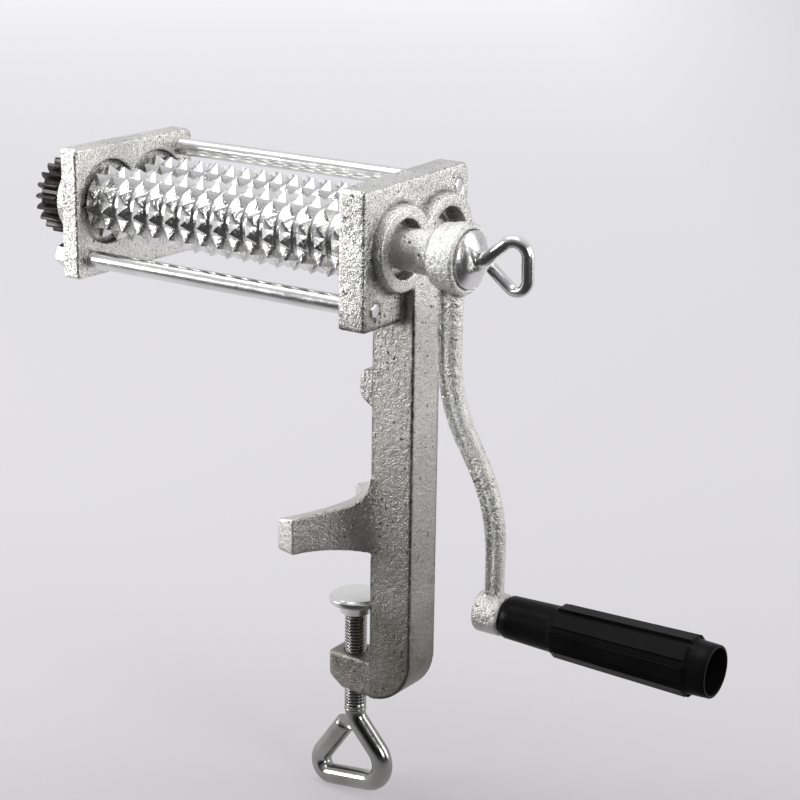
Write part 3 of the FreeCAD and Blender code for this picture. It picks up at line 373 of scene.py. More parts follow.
# ---- nodes ----
class Wire:
    """One output in a node tree; whatever is worked out from it becomes nodes in the same tree."""

    def __init__(self, tree, socket):
        self.tree, self.socket = tree, socket

    def maths(self, operation, *others):
        return add_node(self.tree, "ShaderNodeMath", enumerate((self, *others)), operation=operation)[0]

    def __add__(self, other):
        return self.maths("ADD", other)

    def __sub__(self, other):
        return self.maths("SUBTRACT", other)

    def __mul__(self, other):
        return self.maths("MULTIPLY", other)

    def __truediv__(self, other):
        return self.maths("DIVIDE", other)

    def most(self, other):
        return self.maths("MAXIMUM", other)

    def ranged(self, low, high, out_low=0.0, out_high=1.0):
        """Its share of the way from low to high, held at both, as a number from out_low to out_high."""
        return add_node(self.tree, "ShaderNodeMapRange", {"Value": self, "From Min": low, "From Max": high,
                                                          "To Min": out_low, "To Max": out_high})[0]

    def blend(self, first, second):
        """A mix of two colours by this share."""
        first, second = (end if isinstance(end, Wire) else (*end, 1.0) for end in (first, second))
        return add_node(self.tree, "ShaderNodeMix", {"Factor": self, 6: first, 7: second}, data_type="RGBA")[2]

    def noise(self, scale, detail=2.0, roughness=0.5):
        return add_node(self.tree, "ShaderNodeTexNoise", {"Vector": self, "Scale": scale, "Detail": detail,
                                                          "Roughness": roughness})["Fac"]

    def along(self, direction):
        """How far this place lies along a direction."""
        return add_node(self.tree, "ShaderNodeVectorMath", {0: self, 1: direction}, operation="DOT_PRODUCT")["Value"]


class Wires:
    """A node's outputs, by name or place."""

    def __init__(self, tree, outputs):
        self.tree, self.outputs = tree, outputs

    def __getitem__(self, key):
        return Wire(self.tree, self.outputs[key])


def set_inputs(node, inputs):
    """Feeds a node's inputs, by name or place, from outputs or with plain values."""
    for label, value in dict(inputs).items():
        if isinstance(value, Wire):
            value.tree.links.new(value.socket, node.inputs[label])
        else:
            node.inputs[label].default_value = value


def add_node(tree, kind, inputs=(), **settings):
    node = tree.nodes.new(kind)
    for label, value in settings.items():
        setattr(node, label, value)
    set_inputs(node, inputs)
    return Wires(tree, node.outputs)


def new_tree(name, kind, inputs, outputs):
    """A tree with named inputs (name, kind, value) and outputs (name, kind); gives it and its two ends."""
    tree = bpy.data.node_groups.new(name, kind + "NodeTree")
    for label, sort, value in inputs:
        socket = tree.interface.new_socket(label, in_out="INPUT", socket_type="NodeSocket" + sort)
        if value is not None:
            socket.default_value = value
    for label, sort in outputs:
        tree.interface.new_socket(label, in_out="OUTPUT", socket_type="NodeSocket" + sort)
    return tree, add_node(tree, "NodeGroupInput"), tree.nodes.new("NodeGroupOutput")


# ---- geometry node trees ----
def shape_tree(name, inputs):
    inputs = [("Geometry", "Geometry", None)] + inputs + [("Finish", "Material", None)]
    return new_tree(name, "Geometry", inputs, [("Geometry", "Geometry")])


def end_tree(tree, given, result, shape, seam=None):
    """Realizes the shape, joins it where points lie within the seam's distance, and gives it its finish."""
    shape = add_node(tree, "GeometryNodeRealizeInstances", {0: shape})[0]
    if seam:
        shape = add_node(tree, "GeometryNodeMergeByDistance", {"Geometry": shape, "Distance": seam})[0]
    finish = add_node(tree, "GeometryNodeSetMaterial", {"Geometry": shape, "Material": given["Finish"]})
    set_inputs(result, {"Geometry": finish[0]})
    return tree


def run_tree(obj, tree, values):
    """Runs a tree on an object and keeps the result as its plain mesh."""
    modifier = obj.modifiers.new(tree.name, "NODES")
    modifier.node_group = tree
    for item in tree.interface.items_tree:
        if item.item_type == "SOCKET" and item.in_out == "INPUT" and item.name in values:
            modifier[item.identifier] = values[item.name]
    evaluated(obj)


def rows_around_tree():
    """Copies one tooth around the X axis and along it, row after row."""
    tree, given, result = shape_tree("rows_around", [
        ("Around", "Int", 12), ("Rows", "Int", 1), ("Pitch", "Float", 1.0), ("Phase", "Float", 0.0),
        ("Join Distance", "Float", 0.0)])
    around = given["Around"]
    spots = add_node(tree, "GeometryNodeMeshLine", {"Count": around * given["Rows"], "Offset": (0, 0, 0)})
    index = add_node(tree, "GeometryNodeInputIndex")[0]
    where = add_node(tree, "ShaderNodeCombineXYZ", {0: (index / around).maths("FLOOR") * given["Pitch"]})
    moved = add_node(tree, "GeometryNodeSetPosition", {"Geometry": spots[0], "Position": where[0]})
    step = add_node(tree, "ShaderNodeMath", {0: TURN, 1: around}, operation="DIVIDE")[0]
    turn = add_node(tree, "ShaderNodeCombineXYZ", {0: index * step + given["Phase"]})
    copies = add_node(tree, "GeometryNodeInstanceOnPoints", {
        "Points": moved[0], "Instance": given["Geometry"], "Rotation": turn[0]})
    return end_tree(tree, given, result, copies[0], given["Join Distance"])


def screw_thread_tree():
    """Cuts a V thread into a bar along Z: radius shrinks with the helix's saw shape between two heights."""
    tree, given, result = shape_tree("screw_thread", [
        ("Pitch", "Float", 1.5), ("Depth", "Float", 0.9), ("Low", "Float", 0.0), ("High", "Float", 10.0),
        ("Least Radius", "Float", 1.0)])
    pitch = given["Pitch"]
    x, y, z = add_node(tree, "ShaderNodeSeparateXYZ", {0: add_node(tree, "GeometryNodeInputPosition")[0]})
    phase = (z / pitch - y.maths("ARCTAN2", x) / TURN).maths("FRACT")
    saw = (phase * 2.0 - 1.0).maths("ABSOLUTE")
    run_in, run_out = (z - given["Low"]).ranged(0.0, pitch), ((z - given["High"]) * -1.0).ranged(0.0, pitch)
    cut = run_in * run_out * saw.ranged(0.12, 0.88) * given["Depth"]
    radius = (x * x + y * y).maths("SQRT")
    share = cut * -1.0 / radius.most(0.001)
    shift = add_node(tree, "ShaderNodeCombineXYZ", {0: x * share, 1: y * share})
    outside = add_node(tree, "FunctionNodeCompare", {0: radius, 1: given["Least Radius"]},
                       data_type="FLOAT", operation="GREATER_THAN")
    moved = add_node(tree, "GeometryNodeSetPosition", {
        "Geometry": given["Geometry"], "Selection": outside[0], "Offset": shift[0]})
    return end_tree(tree, given, result, moved[0])


# ---- shader node groups ----
def cast_skin_group():
    """Grain, lumps and scattered irregular pits of sand casting under tin, and specks where the tin is thin."""
    group, given, result = new_tree("cast_skin", "Shader", [
        ("Vector", "Vector", None), ("Grain Scale", "Float", 1000.0), ("Pit Scale", "Float", 520.0),
        ("Pit Share", "Float", 0.5)],
        [(label, "Float") for label in ("Height", "Pits", "Tone", "Grain", "Specks")])
    where, grain_scale = given["Vector"], given["Grain Scale"]
    fine = where.noise(grain_scale, 2.0, 0.6)
    grain = fine.ranged(0.3, 0.68)
    lumps = where.noise(grain_scale / 3.5).ranged(0.32, 0.68)
    edge = (where.noise(75.0).ranged(0.4, 0.62) * given["Pit Share"]).maths("MULTIPLY_ADD", 0.1, 0.27)
    pits = where.noise(given["Pit Scale"]).ranged(edge, edge - 0.05)
    set_inputs(result, {"Height": grain * 0.5 + lumps * 0.5 - pits, "Pits": pits, "Grain": grain,
                        "Tone": where.noise(38.0, 3.0, 0.55), "Specks": fine.ranged(0.39, 0.3)})
    return group


def make_edge_wear_and_shade_group():
    """Bright rubbed edges, which is wear, and painted shade in the hollows, both broken up by noise."""
    group, given, result = new_tree("edge_wear_and_hollow_shade", "Shader", [
        ("Vector", "Vector", None), ("Edge", "Float", 0.0), ("Hollow", "Float", 0.0), ("Amount", "Float", 1.0)],
        [("Bright", "Float"), ("Painted Shade", "Float")])
    breaks = given["Vector"].noise(220.0, 2.0, 0.6).ranged(0.3, 0.65, 0.35, 1.0)
    for label, source in (("Bright", "Edge"), ("Painted Shade", "Hollow")):
        worn = given[source] * breaks * given["Amount"]
        set_inputs(result, {label: worn.maths("MINIMUM", 1.0)})
    return group


def polish_marks_group():
    """Fine marks drawn out along one direction, with a faint cloudiness."""
    group, given, result = new_tree("polish_marks", "Shader", [
        ("Vector", "Vector", None), ("Stretch", "Vector", (1.0, 1.0, 1.0)), ("Fineness", "Float", 900.0)],
        [("Marks", "Float"), ("Cloud", "Float")])
    stretched = add_node(group, "ShaderNodeVectorMath", {0: given["Vector"], 1: given["Stretch"]},
                         operation="MULTIPLY")[0]
    set_inputs(result, {"Marks": stretched.noise(given["Fineness"], 3.0, 0.6), "Cloud": given["Vector"].noise(60.0)})
    return group


CAST_SKIN = cast_skin_group()
EDGE_WEAR_AND_HOLLOW_SHADE = make_edge_wear_and_shade_group()
POLISH_MARKS = polish_marks_group()


# ---- materials ----
def new_material(name):
    """A material, its tree, its shader and the place on the piece."""
    material = bpy.data.materials.new(name)
    material.use_nodes = True
    tree = material.node_tree
    return material, tree, tree.nodes["Principled BSDF"], add_node(tree, "ShaderNodeTexCoord")["Object"]


def finished(material, shader, colour, metallic, roughness, height, depth):
    """Feeds the shader; height is the relief and depth its size in metres."""
    bump = add_node(material.node_tree, "ShaderNodeBump", {"Strength": 1.0, "Distance": depth, "Height": height})
    set_inputs(shader, {"Base Color": colour, "Metallic": metallic, "Roughness": roughness, "Normal": bump[0]})
    return material


def tinned_casting(name, light, dark, skin_numbers, depth, rough, speckle, tarnish_and_shade_strength):
    """Tinned iron. Its last argument sets the brown oxide mixed with painted shade, darker under the plate and towards
    the bottom, and the painted dark reflection on the column's rounded edges. Heights are in metres.
    """
    shoulder, under_plate, column_top, column_face = 0.118, 0.106, 0.11, 0.014
    # The first colour below is brown oxide that also stands in for painted shade low on the part and under the plate.
    oxide, bare_iron, rubbed, hollow_shade_colour = (0.17, 0.155, 0.13), (0.13, 0.125, 0.115), (0.84, 0.84, 0.82), (0.12, 0.115, 0.105)
    pit, painted_dark_edge_colour = (0.03, 0.029, 0.027), (0.045, 0.043, 0.04)
    material, tree, shader, where = new_material(name)
    skin = add_node(tree, "ShaderNodeGroup", {"Vector": where, **skin_numbers}, node_tree=CAST_SKIN)
    edge, hollow = (add_node(tree, "ShaderNodeAttribute", attribute_name=label)["Fac"] for label in ("edge", "hollow"))
    edges = add_node(tree, "ShaderNodeGroup", {"Vector": where, "Edge": edge, "Hollow": hollow, "Amount": 1.0},
                     node_tree=EDGE_WEAR_AND_HOLLOW_SHADE)
    x, _, z = add_node(tree, "ShaderNodeSeparateXYZ", {0: where})
    outside = x.ranged(0.0, column_face)
    # Painted shade mixed with brown oxide: darker in a band low on the plate and down the column, and darkening
    # everywhere from z 0.01 down to -0.03.
    column = z.ranged(shoulder, under_plate, 0.0, 0.34).most(z.ranged(column_top, 0.0, 0.0, 0.74))
    low = (column * outside).most(z.ranged(0.01, -0.03))
    tarnish_and_shade_share = low * skin["Tone"].ranged(0.3, 0.6, 0.75, 1.0) * tarnish_and_shade_strength
    thin = skin["Specks"] * tarnish_and_shade_share.maths("MULTIPLY_ADD", 0.35, speckle)
    # Painted dark reflection: the rounded edges of the column and the plate's low band are coloured near black.
    corner = edges["Bright"] * outside * z.ranged(shoulder, 0.108, 0.0, 0.9 * tarnish_and_shade_strength)
    colour = skin["Tone"].ranged(0.32, 0.68).blend(dark, light)
    # Hollows get painted shade: a dark grey laid over them from the edge group's second output.
    for share, over in ((tarnish_and_shade_share, oxide), (thin, bare_iron), (edges["Bright"] * 0.12, rubbed),
                        (edges["Painted Shade"] * 0.82, hollow_shade_colour), (skin["Pits"] * 0.85, pit), (corner, painted_dark_edge_colour)):
        colour = share.blend(colour, over)
    jaw = x.ranged(0.012, 0.0) * z.ranged(0.06, 0.04)
    roughness = tarnish_and_shade_share.most(jaw).maths("MULTIPLY_ADD", 0.1, skin["Grain"].ranged(0.0, 1.0, rough, rough + 0.14))
    return finished(material, shader, colour, 0.96, roughness, skin["Height"], depth)


def bright_metal(name, colour, dull, rough, spread, stretch, fineness, depth):
    """Polished or turned metal with fine marks along a direction."""
    material, tree, shader, where = new_material(name)
    marks = add_node(tree, "ShaderNodeGroup", {"Vector": where, "Stretch": stretch, "Fineness": fineness},
                     node_tree=POLISH_MARKS)
    return finished(material, shader, marks["Cloud"].ranged(0.35, 0.7).blend(dull, colour), 1.0,
                    marks["Marks"].ranged(0.3, 0.7, rough, rough + spread), marks["Marks"], depth)


def black_finish(name, grain_scale, share, darkest, palest, metallic, rough, depth, gloss=0.5):
    """Oxide or plastic: share is the skin output, and its range, that goes from the darkest to the palest."""
    material, tree, shader, where = new_material(name)
    skin = add_node(tree, "ShaderNodeGroup", {"Vector": where, "Grain Scale": grain_scale, "Pit Share": 0.0},
                    node_tree=CAST_SKIN)
    shader.inputs["Specular IOR Level"].default_value = gloss
    return finished(material, shader, skin[share[0]].ranged(*share[1:]).blend(darkest, palest), metallic,
                    skin["Grain"].ranged(0.0, 1.0, *rough), skin["Height"], depth)


EVEN, ACROSS_X, ALONG_X, ALONG_Z = (1, 1, 1), (1, 0.2, 0.2), (0.25, 1, 1), (1, 1, 0.25)
TINNED = tinned_casting("tinned_casting", (0.82, 0.815, 0.78), (0.6, 0.595, 0.565),
                        {"Grain Scale": 1400.0, "Pit Share": 1.05}, 0.00032, 0.21, 0.9, 1.0)
CRANK_TIN = tinned_casting("crank_tin", (0.97, 0.965, 0.925), (0.76, 0.755, 0.72),
                           {"Grain Scale": 1500.0, "Pit Share": 0.8}, 0.00048, 0.24, 1.0, 0.3)
ROLLER = bright_metal("roller_bright", (0.96, 0.96, 0.95), (0.8, 0.8, 0.79), 0.12, 0.16, EVEN, 800.0, 0.0002)
PLATED = bright_metal("plated_steel", (0.84, 0.84, 0.83), (0.72, 0.72, 0.71), 0.17, 0.12, ALONG_X, 900.0, 0.00001)
TURNED = bright_metal("turned_steel", (0.6, 0.6, 0.58), (0.45, 0.44, 0.43), 0.24, 0.16, ACROSS_X, 1600.0, 0.00002)
# Painted shade: the bushes' bronze is coloured near black, standing in for the shade inside the bores.
BRONZE_PAINTED_DARK = bright_metal("bush_bronze", (0.17, 0.165, 0.13), (0.12, 0.115, 0.09), 0.36, 0.16, ACROSS_X, 1600.0,
                      0.00002)
# Painted shade: the clamp screw's plating is coloured dark grey, standing in for the shade under the table top.
SCREW_PLATING_PAINTED_DARK = bright_metal("screw_plating_painted_shade", (0.4, 0.4, 0.385), (0.29, 0.29, 0.275), 0.12, 0.12, ALONG_Z, 900.0,
                             0.00002)
OXIDE = black_finish("gear_black_oxide", 1400.0, ("Grain", 0.0, 1.0), (0.012, 0.011, 0.01), (0.06, 0.055, 0.05),
                     0.7, (0.26, 0.42), 0.00006)
PLASTIC = black_finish("grip_black_plastic", 2200.0, ("Tone", 0.35, 0.65), (0.003, 0.003, 0.0032),
                       (0.006, 0.006, 0.0064), 0.0, (0.28, 0.4), 0.00001, gloss=0.055)
ROWS_AROUND = rows_around_tree()
SCREW_THREAD = screw_thread_tree()


# ---- put a finished piece on its body in place of its CAD node ----
def keep(obj, node, ending, material, body, crease=35.0):
    """Scales a piece to metres, gives it its finish and puts it on its body in place of its CAD node."""
    mesh = obj.data
    mesh.transform(Matrix.Scale(MM, 4))
    co = np.empty(len(mesh.vertices) * 3, np.float32)
    mesh.vertices.foreach_get("co", co)
    low, high = (np.array(corner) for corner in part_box(node))
    mesh.vertices.foreach_set("co", np.clip(co.reshape(-1, 3), low, high).ravel())
    mesh.materials.clear()
    mesh.materials.append(material)
    mesh.polygons.foreach_set("material_index", np.zeros(len(mesh.polygons), np.int32))
    mesh.polygons.foreach_set("use_smooth", np.ones(len(mesh.polygons), bool))
    mesh.set_sharp_from_angle(angle=math.radians(crease))
    mesh.update()
    mesh.name = obj.name = f"{node}_{ending}"
    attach(obj, body)
    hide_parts(node)


def keep_plated(obj, node, body, crease=35.0):
    keep(obj, node, "plated", PLATED, body, crease)


# ---- castings ----
def bore_tools(roller_cuts, rod_cuts):
    """Round tools for the bores (radius, from, to) on both rollers' axes and on both rods'."""
    pairs = ((ROLLER_AXES, roller_cuts), (ROD_AXES, rod_cuts))
    return [cylinder("cut", low, high, radius, axis)
            for axes, cuts in pairs for axis in axes for radius, low, high in cuts]


def boss(axis, start, face):
    """Round boss; its outer rim is rounded."""
    rim = rounded([(face, 0), (face, BOSS_RADIUS), (start, BOSS_RADIUS), (start, 0)], [0, 0.6, 0, 0], 5)
    return turned("boss", rim, axis)


def end_plate(start, end, rear, rise):
    """Plate whose top climbs by rise towards a rounder corner at the rear."""
    corners = [(PLATE_FRONT, PLATE_LOW), (rear, PLATE_LOW), (rear, PLATE_TOP + rise), (PLATE_FRONT, PLATE_TOP)]
    return prism("plate", rounded(corners, [1.3, 1.3, 4.5, 1.3], 8), "X", start, end, 1.1, 4)


def make_column():
    toe_x, toe_z, back = BOSS_FACE - TOE_RADIUS, COLUMN_BOTTOM + TOE_RADIUS, 24.1
    outline = [(toe_x + TOE_RADIUS * math.sin(a), toe_z - TOE_RADIUS * math.cos(a))
               for a in [math.pi / 2 * k / 16 for k in range(17)]]
    outline += [(BOSS_FACE, ROLLER_Z), (back, ROLLER_Z), (back, 114.0), (17.8, 112.0), (RIGHT_INNER, PLATE_LOW),
                (COLUMN_INNER, 101.8), (COLUMN_INNER, COLUMN_BOTTOM)]
    return prism("column", outline, "Y", -COLUMN_HALF, COLUMN_HALF, 2.3, 5)


def make_clamp_arm():
    end_half, root_x = 7.75, 18.2
    plan = rounded([(ARM_END, -end_half), (root_x, -COLUMN_HALF), (root_x, COLUMN_HALF), (ARM_END, end_half)],
                   [2.0, 0, 0, 2.0])
    arm = prism("clamp_arm", plan, "Z", COLUMN_BOTTOM, ARM_TOP, 1.0)
    corner_x, corner_z = ARM_END - 2, COLUMN_BOTTOM - 2
    under = prism("under", [(corner_x, corner_z), (ARM_END + 10.9, corner_z), (corner_x, COLUMN_BOTTOM + 6.9)],
                  "Y", -20, 20)
    carve(arm, [under])
    drop([under])
    return arm


def make_jaw():
    """Two feet that spread from the column, flat below, with a curved web above."""
    radius, centre_y, start_x, foot_width, web_top = 32.2, COLUMN_HALF + 32.2, 20.0, 12.8, 34.2

    def on_arc(angle, side):
        return start_x - radius * math.sin(angle), side * (centre_y - radius * math.cos(angle))

    turn, skew = math.radians(72.6), math.radians(16.0)
    tip_x, tip_y = on_arc(turn, 1)
    inner_x, inner_y = tip_x - foot_width * math.cos(skew), tip_y - foot_width * math.sin(skew)
    rear = [on_arc(turn * k / 24, 1) for k in range(25)]
    notch = arc_through((inner_x, inner_y), (-5.0, 0.0), (inner_x, -inner_y), 32)
    front = [on_arc(turn * (24 - k) / 24, -1) for k in range(25)]
    jaw = prism("jaw", rear + notch + front, "Z", 0.0, 40.0)
    web = arc_through((COLUMN_INNER - 13.5, 19.2), (COLUMN_INNER - 4.8, 23.7), (COLUMN_INNER, web_top), 12)
    outline = [(inner_x - 1, 0.0), (inner_x - 1, 13.4)] + web + [(start_x, web_top), (start_x, 0.0)]
    side = prism("side", outline, "Y", -90.0, 90.0)
    carve(jaw, [side], "INTERSECT")
    drop([side])
    return jaw


def make_lug():
    root_x, top, foot = 18.0, 80.5, 62.0
    nose = arc_through((6.6, top), (4.4, 71.5), (6.2, 67.0), 10)
    return prism("lug", [(root_x, top)] + nose + [(COLUMN_INNER, foot), (root_x, foot)], "Y", -5.5, 5.5, 0.9)


def make_main_frame():
    shells = [end_plate(RIGHT_INNER, RIGHT_OUTER, RIGHT_REAR, RIGHT_RISE), make_column()]
    shells += [make_clamp_arm(), make_jaw(), make_lug()]
    shells += [boss(axis, RIGHT_INNER + 4.0, BOSS_FACE) for axis in ROLLER_AXES]
    inside, outside = 10.0, BOSS_FACE + 5
    tools = bore_tools([(POCKET_RADIUS, 0.0, RIGHT_POCKET), (BUSH_HOLE, inside, outside),
                        (BORE_RADIUS, BORE_FLOOR, outside)],
                       [(ROD_HOLE_RADIUS, inside, outside),
                        (ROD_RING_RADIUS, RIGHT_OUTER - ROD_RING_DEPTH, outside)])
    screw_hole = cylinder("cut", -80.0, -45.0, SCREW_HOLE_RADIUS, CLAMP_AXIS, along="Z")
    plate, column, arm, _, _, *bosses = shells
    for shell in (plate, column, *bosses):
        carve(shell, tools)
    carve(arm, [screw_hole])
    drop(tools + [screw_hole])
    keep(cast("main_frame", shells, 0.65), "main_frame", "casting", TINNED, "frame", 80.0)


def make_left_plate():
    shells = [end_plate(LEFT_OUTER, LEFT_INNER, LEFT_REAR, 0.0)]
    shells += [boss(axis, LEFT_INNER - 3.0, LEFT_BOSS_FACE) for axis in ROLLER_AXES]
    outside, inside = -150.0, -110.0
    tools = bore_tools([(POCKET_RADIUS, LEFT_POCKET, inside), (BUSH_HOLE, outside, inside)],
                       [(ROD_HOLE_RADIUS, outside, inside)])
    for shell in shells:
        carve(shell, tools)
    drop(tools)
    keep(cast("left_plate", shells, 0.5), "left_plate", "casting", TINNED, "frame", 80.0)


def ring(name, start, end, bore, radius, axis, soften):
    """Plain sleeve or washer with all its edges softened."""
    outline = rounded([(start, bore), (start, radius), (end, radius), (end, bore)], soften, 2)
    return turned(name, outline, axis, closed=True)


def make_bushes():
    for node, start, end in (("right_bushes", RIGHT_POCKET, BORE_FLOOR), ("left_bushes", LEFT_BOSS_FACE, LEFT_POCKET)):
        rings = [ring("bush", start, end, BUSH_BORE, BUSH_OUTSIDE, axis, 0.3) for axis in ROLLER_AXES]
        keep(joined(node, rings), node, "bronze", BRONZE_PAINTED_DARK, "frame")


# ---- rollers ----
def make_tooth():
    """One pyramid tooth, straight up from the X axis, its edges slightly blunt and its base inside the drum."""
    bm = bmesh.new()
    half, buried, blunt, tip_height, tip_share = math.pi / TEETH_AROUND, 1.2, 0.16, 0.12, 0.07
    rows = []
    for radius, share in ((FOOT_RADIUS - buried, 1.0), (FOOT_RADIUS, 1.0), (TIP_RADIUS - tip_height, tip_share)):
        y, z = radius * math.sin(half * share), radius * math.cos(half * share)
        x = TOOTH_LENGTH / 2 * share
        rows.append([bm.verts.new((sx * x, sy * y, z)) for sx, sy in ((-1, -1), (1, -1), (1, 1), (-1, 1))])
    rows.append([bm.verts.new((0, 0, TIP_RADIUS))])
    join_rows(bm, rows)
    bm.faces.new(rows[0][::-1])
    foot_z = FOOT_RADIUS * math.cos(half) - 0.01
    ridges = []
    for e in bm.edges:
        heights = [v.co.z for v in e.verts]
        if len(e.link_faces) == 2 and min(heights) > foot_z and abs(heights[0] - heights[1]) > 1.0:
            ridges.append(e)
    bmesh.ops.bevel(bm, geom=ridges, offset=blunt, segments=2, profile=0.5, affect="EDGES", clamp_overlap=True)
    return from_bmesh("tooth", bm)


def make_drum(side, axis, phase_degrees, body):
    node = side + "_drum"
    teeth = make_tooth()
    run_tree(teeth, ROWS_AROUND, {"Around": TEETH_AROUND, "Rows": RINGS, "Pitch": RING_PITCH,
                                  "Phase": math.radians(phase_degrees), "Join Distance": 0.0, "Finish": ROLLER})
    teeth.data.transform(Matrix.Translation((FIRST_RING, *axis)))
    outline = rounded([(DRUM_START, DRUM_BORE), (DRUM_START, GROOVE_RADIUS), (DRUM_END, GROOVE_RADIUS),
                       (DRUM_END, DRUM_BORE)], [0.2, 0.5, 0.5, 0.2], 3)
    core = turned("core", outline, axis, closed=True)
    keep(joined(node, [core, teeth]), node, "toothed", ROLLER, body, 28.0)


def square_end(axis, start, end):
    half = SQUARE / 2
    corners = [(axis[0] + a * half, axis[1] + b * half) for a, b in ((-1, -1), (1, -1), (1, 1), (-1, 1))]
    return prism("square", rounded(corners, 0.4, 2), "X", start, end, 0.3, 2)


def make_shaft(side, axis, end, body):
    node = side + "_shaft"
    bar_start, seat_radius = -141.9, 8.0
    pieces = [square_end(axis, GEAR_FAR + 0.4, LEFT_BOSS_FACE)]
    bar_end = BORE_FLOOR if side == "front" else end
    outline = rounded([(bar_start, 0), (bar_start, JOURNAL), (DRUM_START, JOURNAL), (DRUM_START, seat_radius),
                       (DRUM_END, seat_radius), (DRUM_END, JOURNAL), (bar_end, JOURNAL), (bar_end, 0)],
                      [0, 0.3, 0, 0, 0, 0, 0.6, 0], 3)
    pieces.append(turned("bar", outline, axis, steps=72))
    if side == "front":
        pieces.append(square_end(axis, BORE_FLOOR - 1.0, end))
    keep(joined(node, pieces), node, "turned", TURNED, body)


# ---- gears ----
def tooth_edge(root, tip):
    """One gear tooth's (radius, angle) points, from the middle of one gap over the tip to the next gap's."""
    pitch, pressure, backlash = GEAR_MODULE * GEAR_TEETH / 2, math.radians(20.0), 0.2
    base = pitch * math.cos(pressure)
    half_tooth = (math.pi * GEAR_MODULE / 2 - backlash) / (2 * pitch)
    involute = math.tan(pressure) - pressure
    flank = []
    for k in range(7):
        radius = base + (tip - 0.25 - base) * k / 6
        roll = math.acos(min(1.0, base / radius))
        flank.append((radius, half_tooth + involute - (math.tan(roll) - roll)))
    flank.append((tip, flank[-1][1] - 0.02))
    wide = flank[0][1]
    rise = [(root, math.pi / GEAR_TEETH), (root, wide + 0.02), (root + 0.35, wide)] + flank
    return [(radius, -angle) for radius, angle in rise] + [(tip, 0.0)] + rise[::-1]


def make_gear(side, axis, first_tooth, body):
    """Spur gear from one tooth's sector, copied round and joined."""
    node = side + "_gear"
    pitch = GEAR_MODULE * GEAR_TEETH / 2
    root = pitch - 1.25 * GEAR_MODULE
    edge = tooth_edge(root, pitch + GEAR_MODULE)
    bm = bmesh.new()
    far, near, bore, hub, dish = GEAR_FAR, GEAR_NEAR, 6.45, 9.5, root - GEAR_MODULE
    rows = []
    for x, shrink, flat in ((far, 0, bore), (far, 0, hub - 0.3), (far + 0.3, 0, hub), (far + 1.6, 0, hub + 0.1),
                            (far + 1.6, 0, dish - 0.1), (far + 0.2, 0, dish), (far, 0, dish + 0.2), (far, 0.4, None),
                            (far + 0.4, 0, None), (near - 0.4, 0, None), (near, 0.4, None), (near, 0, bore)):
        reached = [(flat or radius - shrink, angle) for radius, angle in edge]
        rows.append([bm.verts.new((x, -radius * math.sin(angle), radius * math.cos(angle)))
                     for radius, angle in reached])
    join_rows(bm, rows, closed=True, around=False)
    wheel = from_bmesh("sector", bm, recalculate=False)
    run_tree(wheel, ROWS_AROUND, {"Around": GEAR_TEETH, "Rows": 1, "Pitch": 0.0,
                                  "Phase": math.radians(first_tooth), "Join Distance": 0.01, "Finish": OXIDE})
    bm = bmesh.new()
    bm.from_mesh(wheel.data)
    drop([wheel])
    wheel = from_bmesh(node, bm)
    wheel.data.transform(Matrix.Translation((0, *axis)))
    keep(wheel, node, "oxide", OXIDE, body, 30.0)
    head_x, washer_bore, washer_radius = GEAR_FAR - 1.2, 2.6, 7.0
    keep_plated(ring("washer", head_x, GEAR_FAR, washer_bore, washer_radius, axis, 0.25), node + "_washer", body)
    flats, head_height, screw_radius, reach = 8.0, 3.6, 2.5, 14.0
    head = hexagon("head", flats, head_x - head_height, head_x, axis)
    shank = cylinder("shank", head_x - 0.5, GEAR_FAR + reach, screw_radius, axis, steps=48)
    keep_plated(joined("screw", [head, shank]), node + "_screw", body)


def hexagon(name, flats, start, end, axis, lean=0.0):
    """Hexagonal head or nut with its corners turned off at both ends; lean turns it towards the rear, in degrees."""
    reach, turned_off = flats / math.sqrt(3), flats / 2 * 0.96
    turns = [TURN * k / 6 + math.radians(lean) for k in range(6)]
    outline = [(axis[0] + reach * math.sin(turn), axis[1] + reach * math.cos(turn)) for turn in turns]
    nut = prism(name, outline, "X", start, end, 0.15, 2)
    cone = turned("cone", [(start, 0), (start, turned_off), (start + 0.7, reach * 1.01), (end - 0.7, reach * 1.01),
                           (end, turned_off), (end, 0)], axis)
    carve(nut, [cone], "INTERSECT")
    drop([cone])
    return nut


# ---- tie rods ----
def make_rods():
    grooves = [(LEFT_INNER + at, radius) for at, radius in (
        (0.0, SPIGOT_RADIUS), (0.0, ROD_RADIUS), (ROD_GROOVE_START, ROD_RADIUS),
        (ROD_GROOVE_START, ROD_GROOVE_RADIUS), (ROD_GROOVE_END, ROD_GROOVE_RADIUS), (ROD_GROOVE_END, ROD_RADIUS))]
    outline = [(ROD_LEFT_END, 0), (ROD_LEFT_END, SPIGOT_RADIUS)] + grooves
    outline += [(RIGHT_INNER, ROD_RADIUS), (RIGHT_INNER, SPIGOT_RADIUS), (RIGHT_OUTER, SPIGOT_RADIUS),
                (RIGHT_OUTER, 0)]
    outline = rounded(outline, [0, 0.5] + [0] * 8 + [0.5, 0], 3)
    for node, axis in (("front_tie_rod", FRONT_ROD), ("rear_tie_rod", REAR_ROD)):
        keep(turned(node, outline, axis), node, "polished", PLATED, "frame")
    nuts = [hexagon("nut", 10.0, LEFT_OUTER - 7.0, LEFT_OUTER, axis, 15.0) for axis in ROD_AXES]
    keep_plated(joined("nuts", nuts), "tie_rod_nuts", "frame")


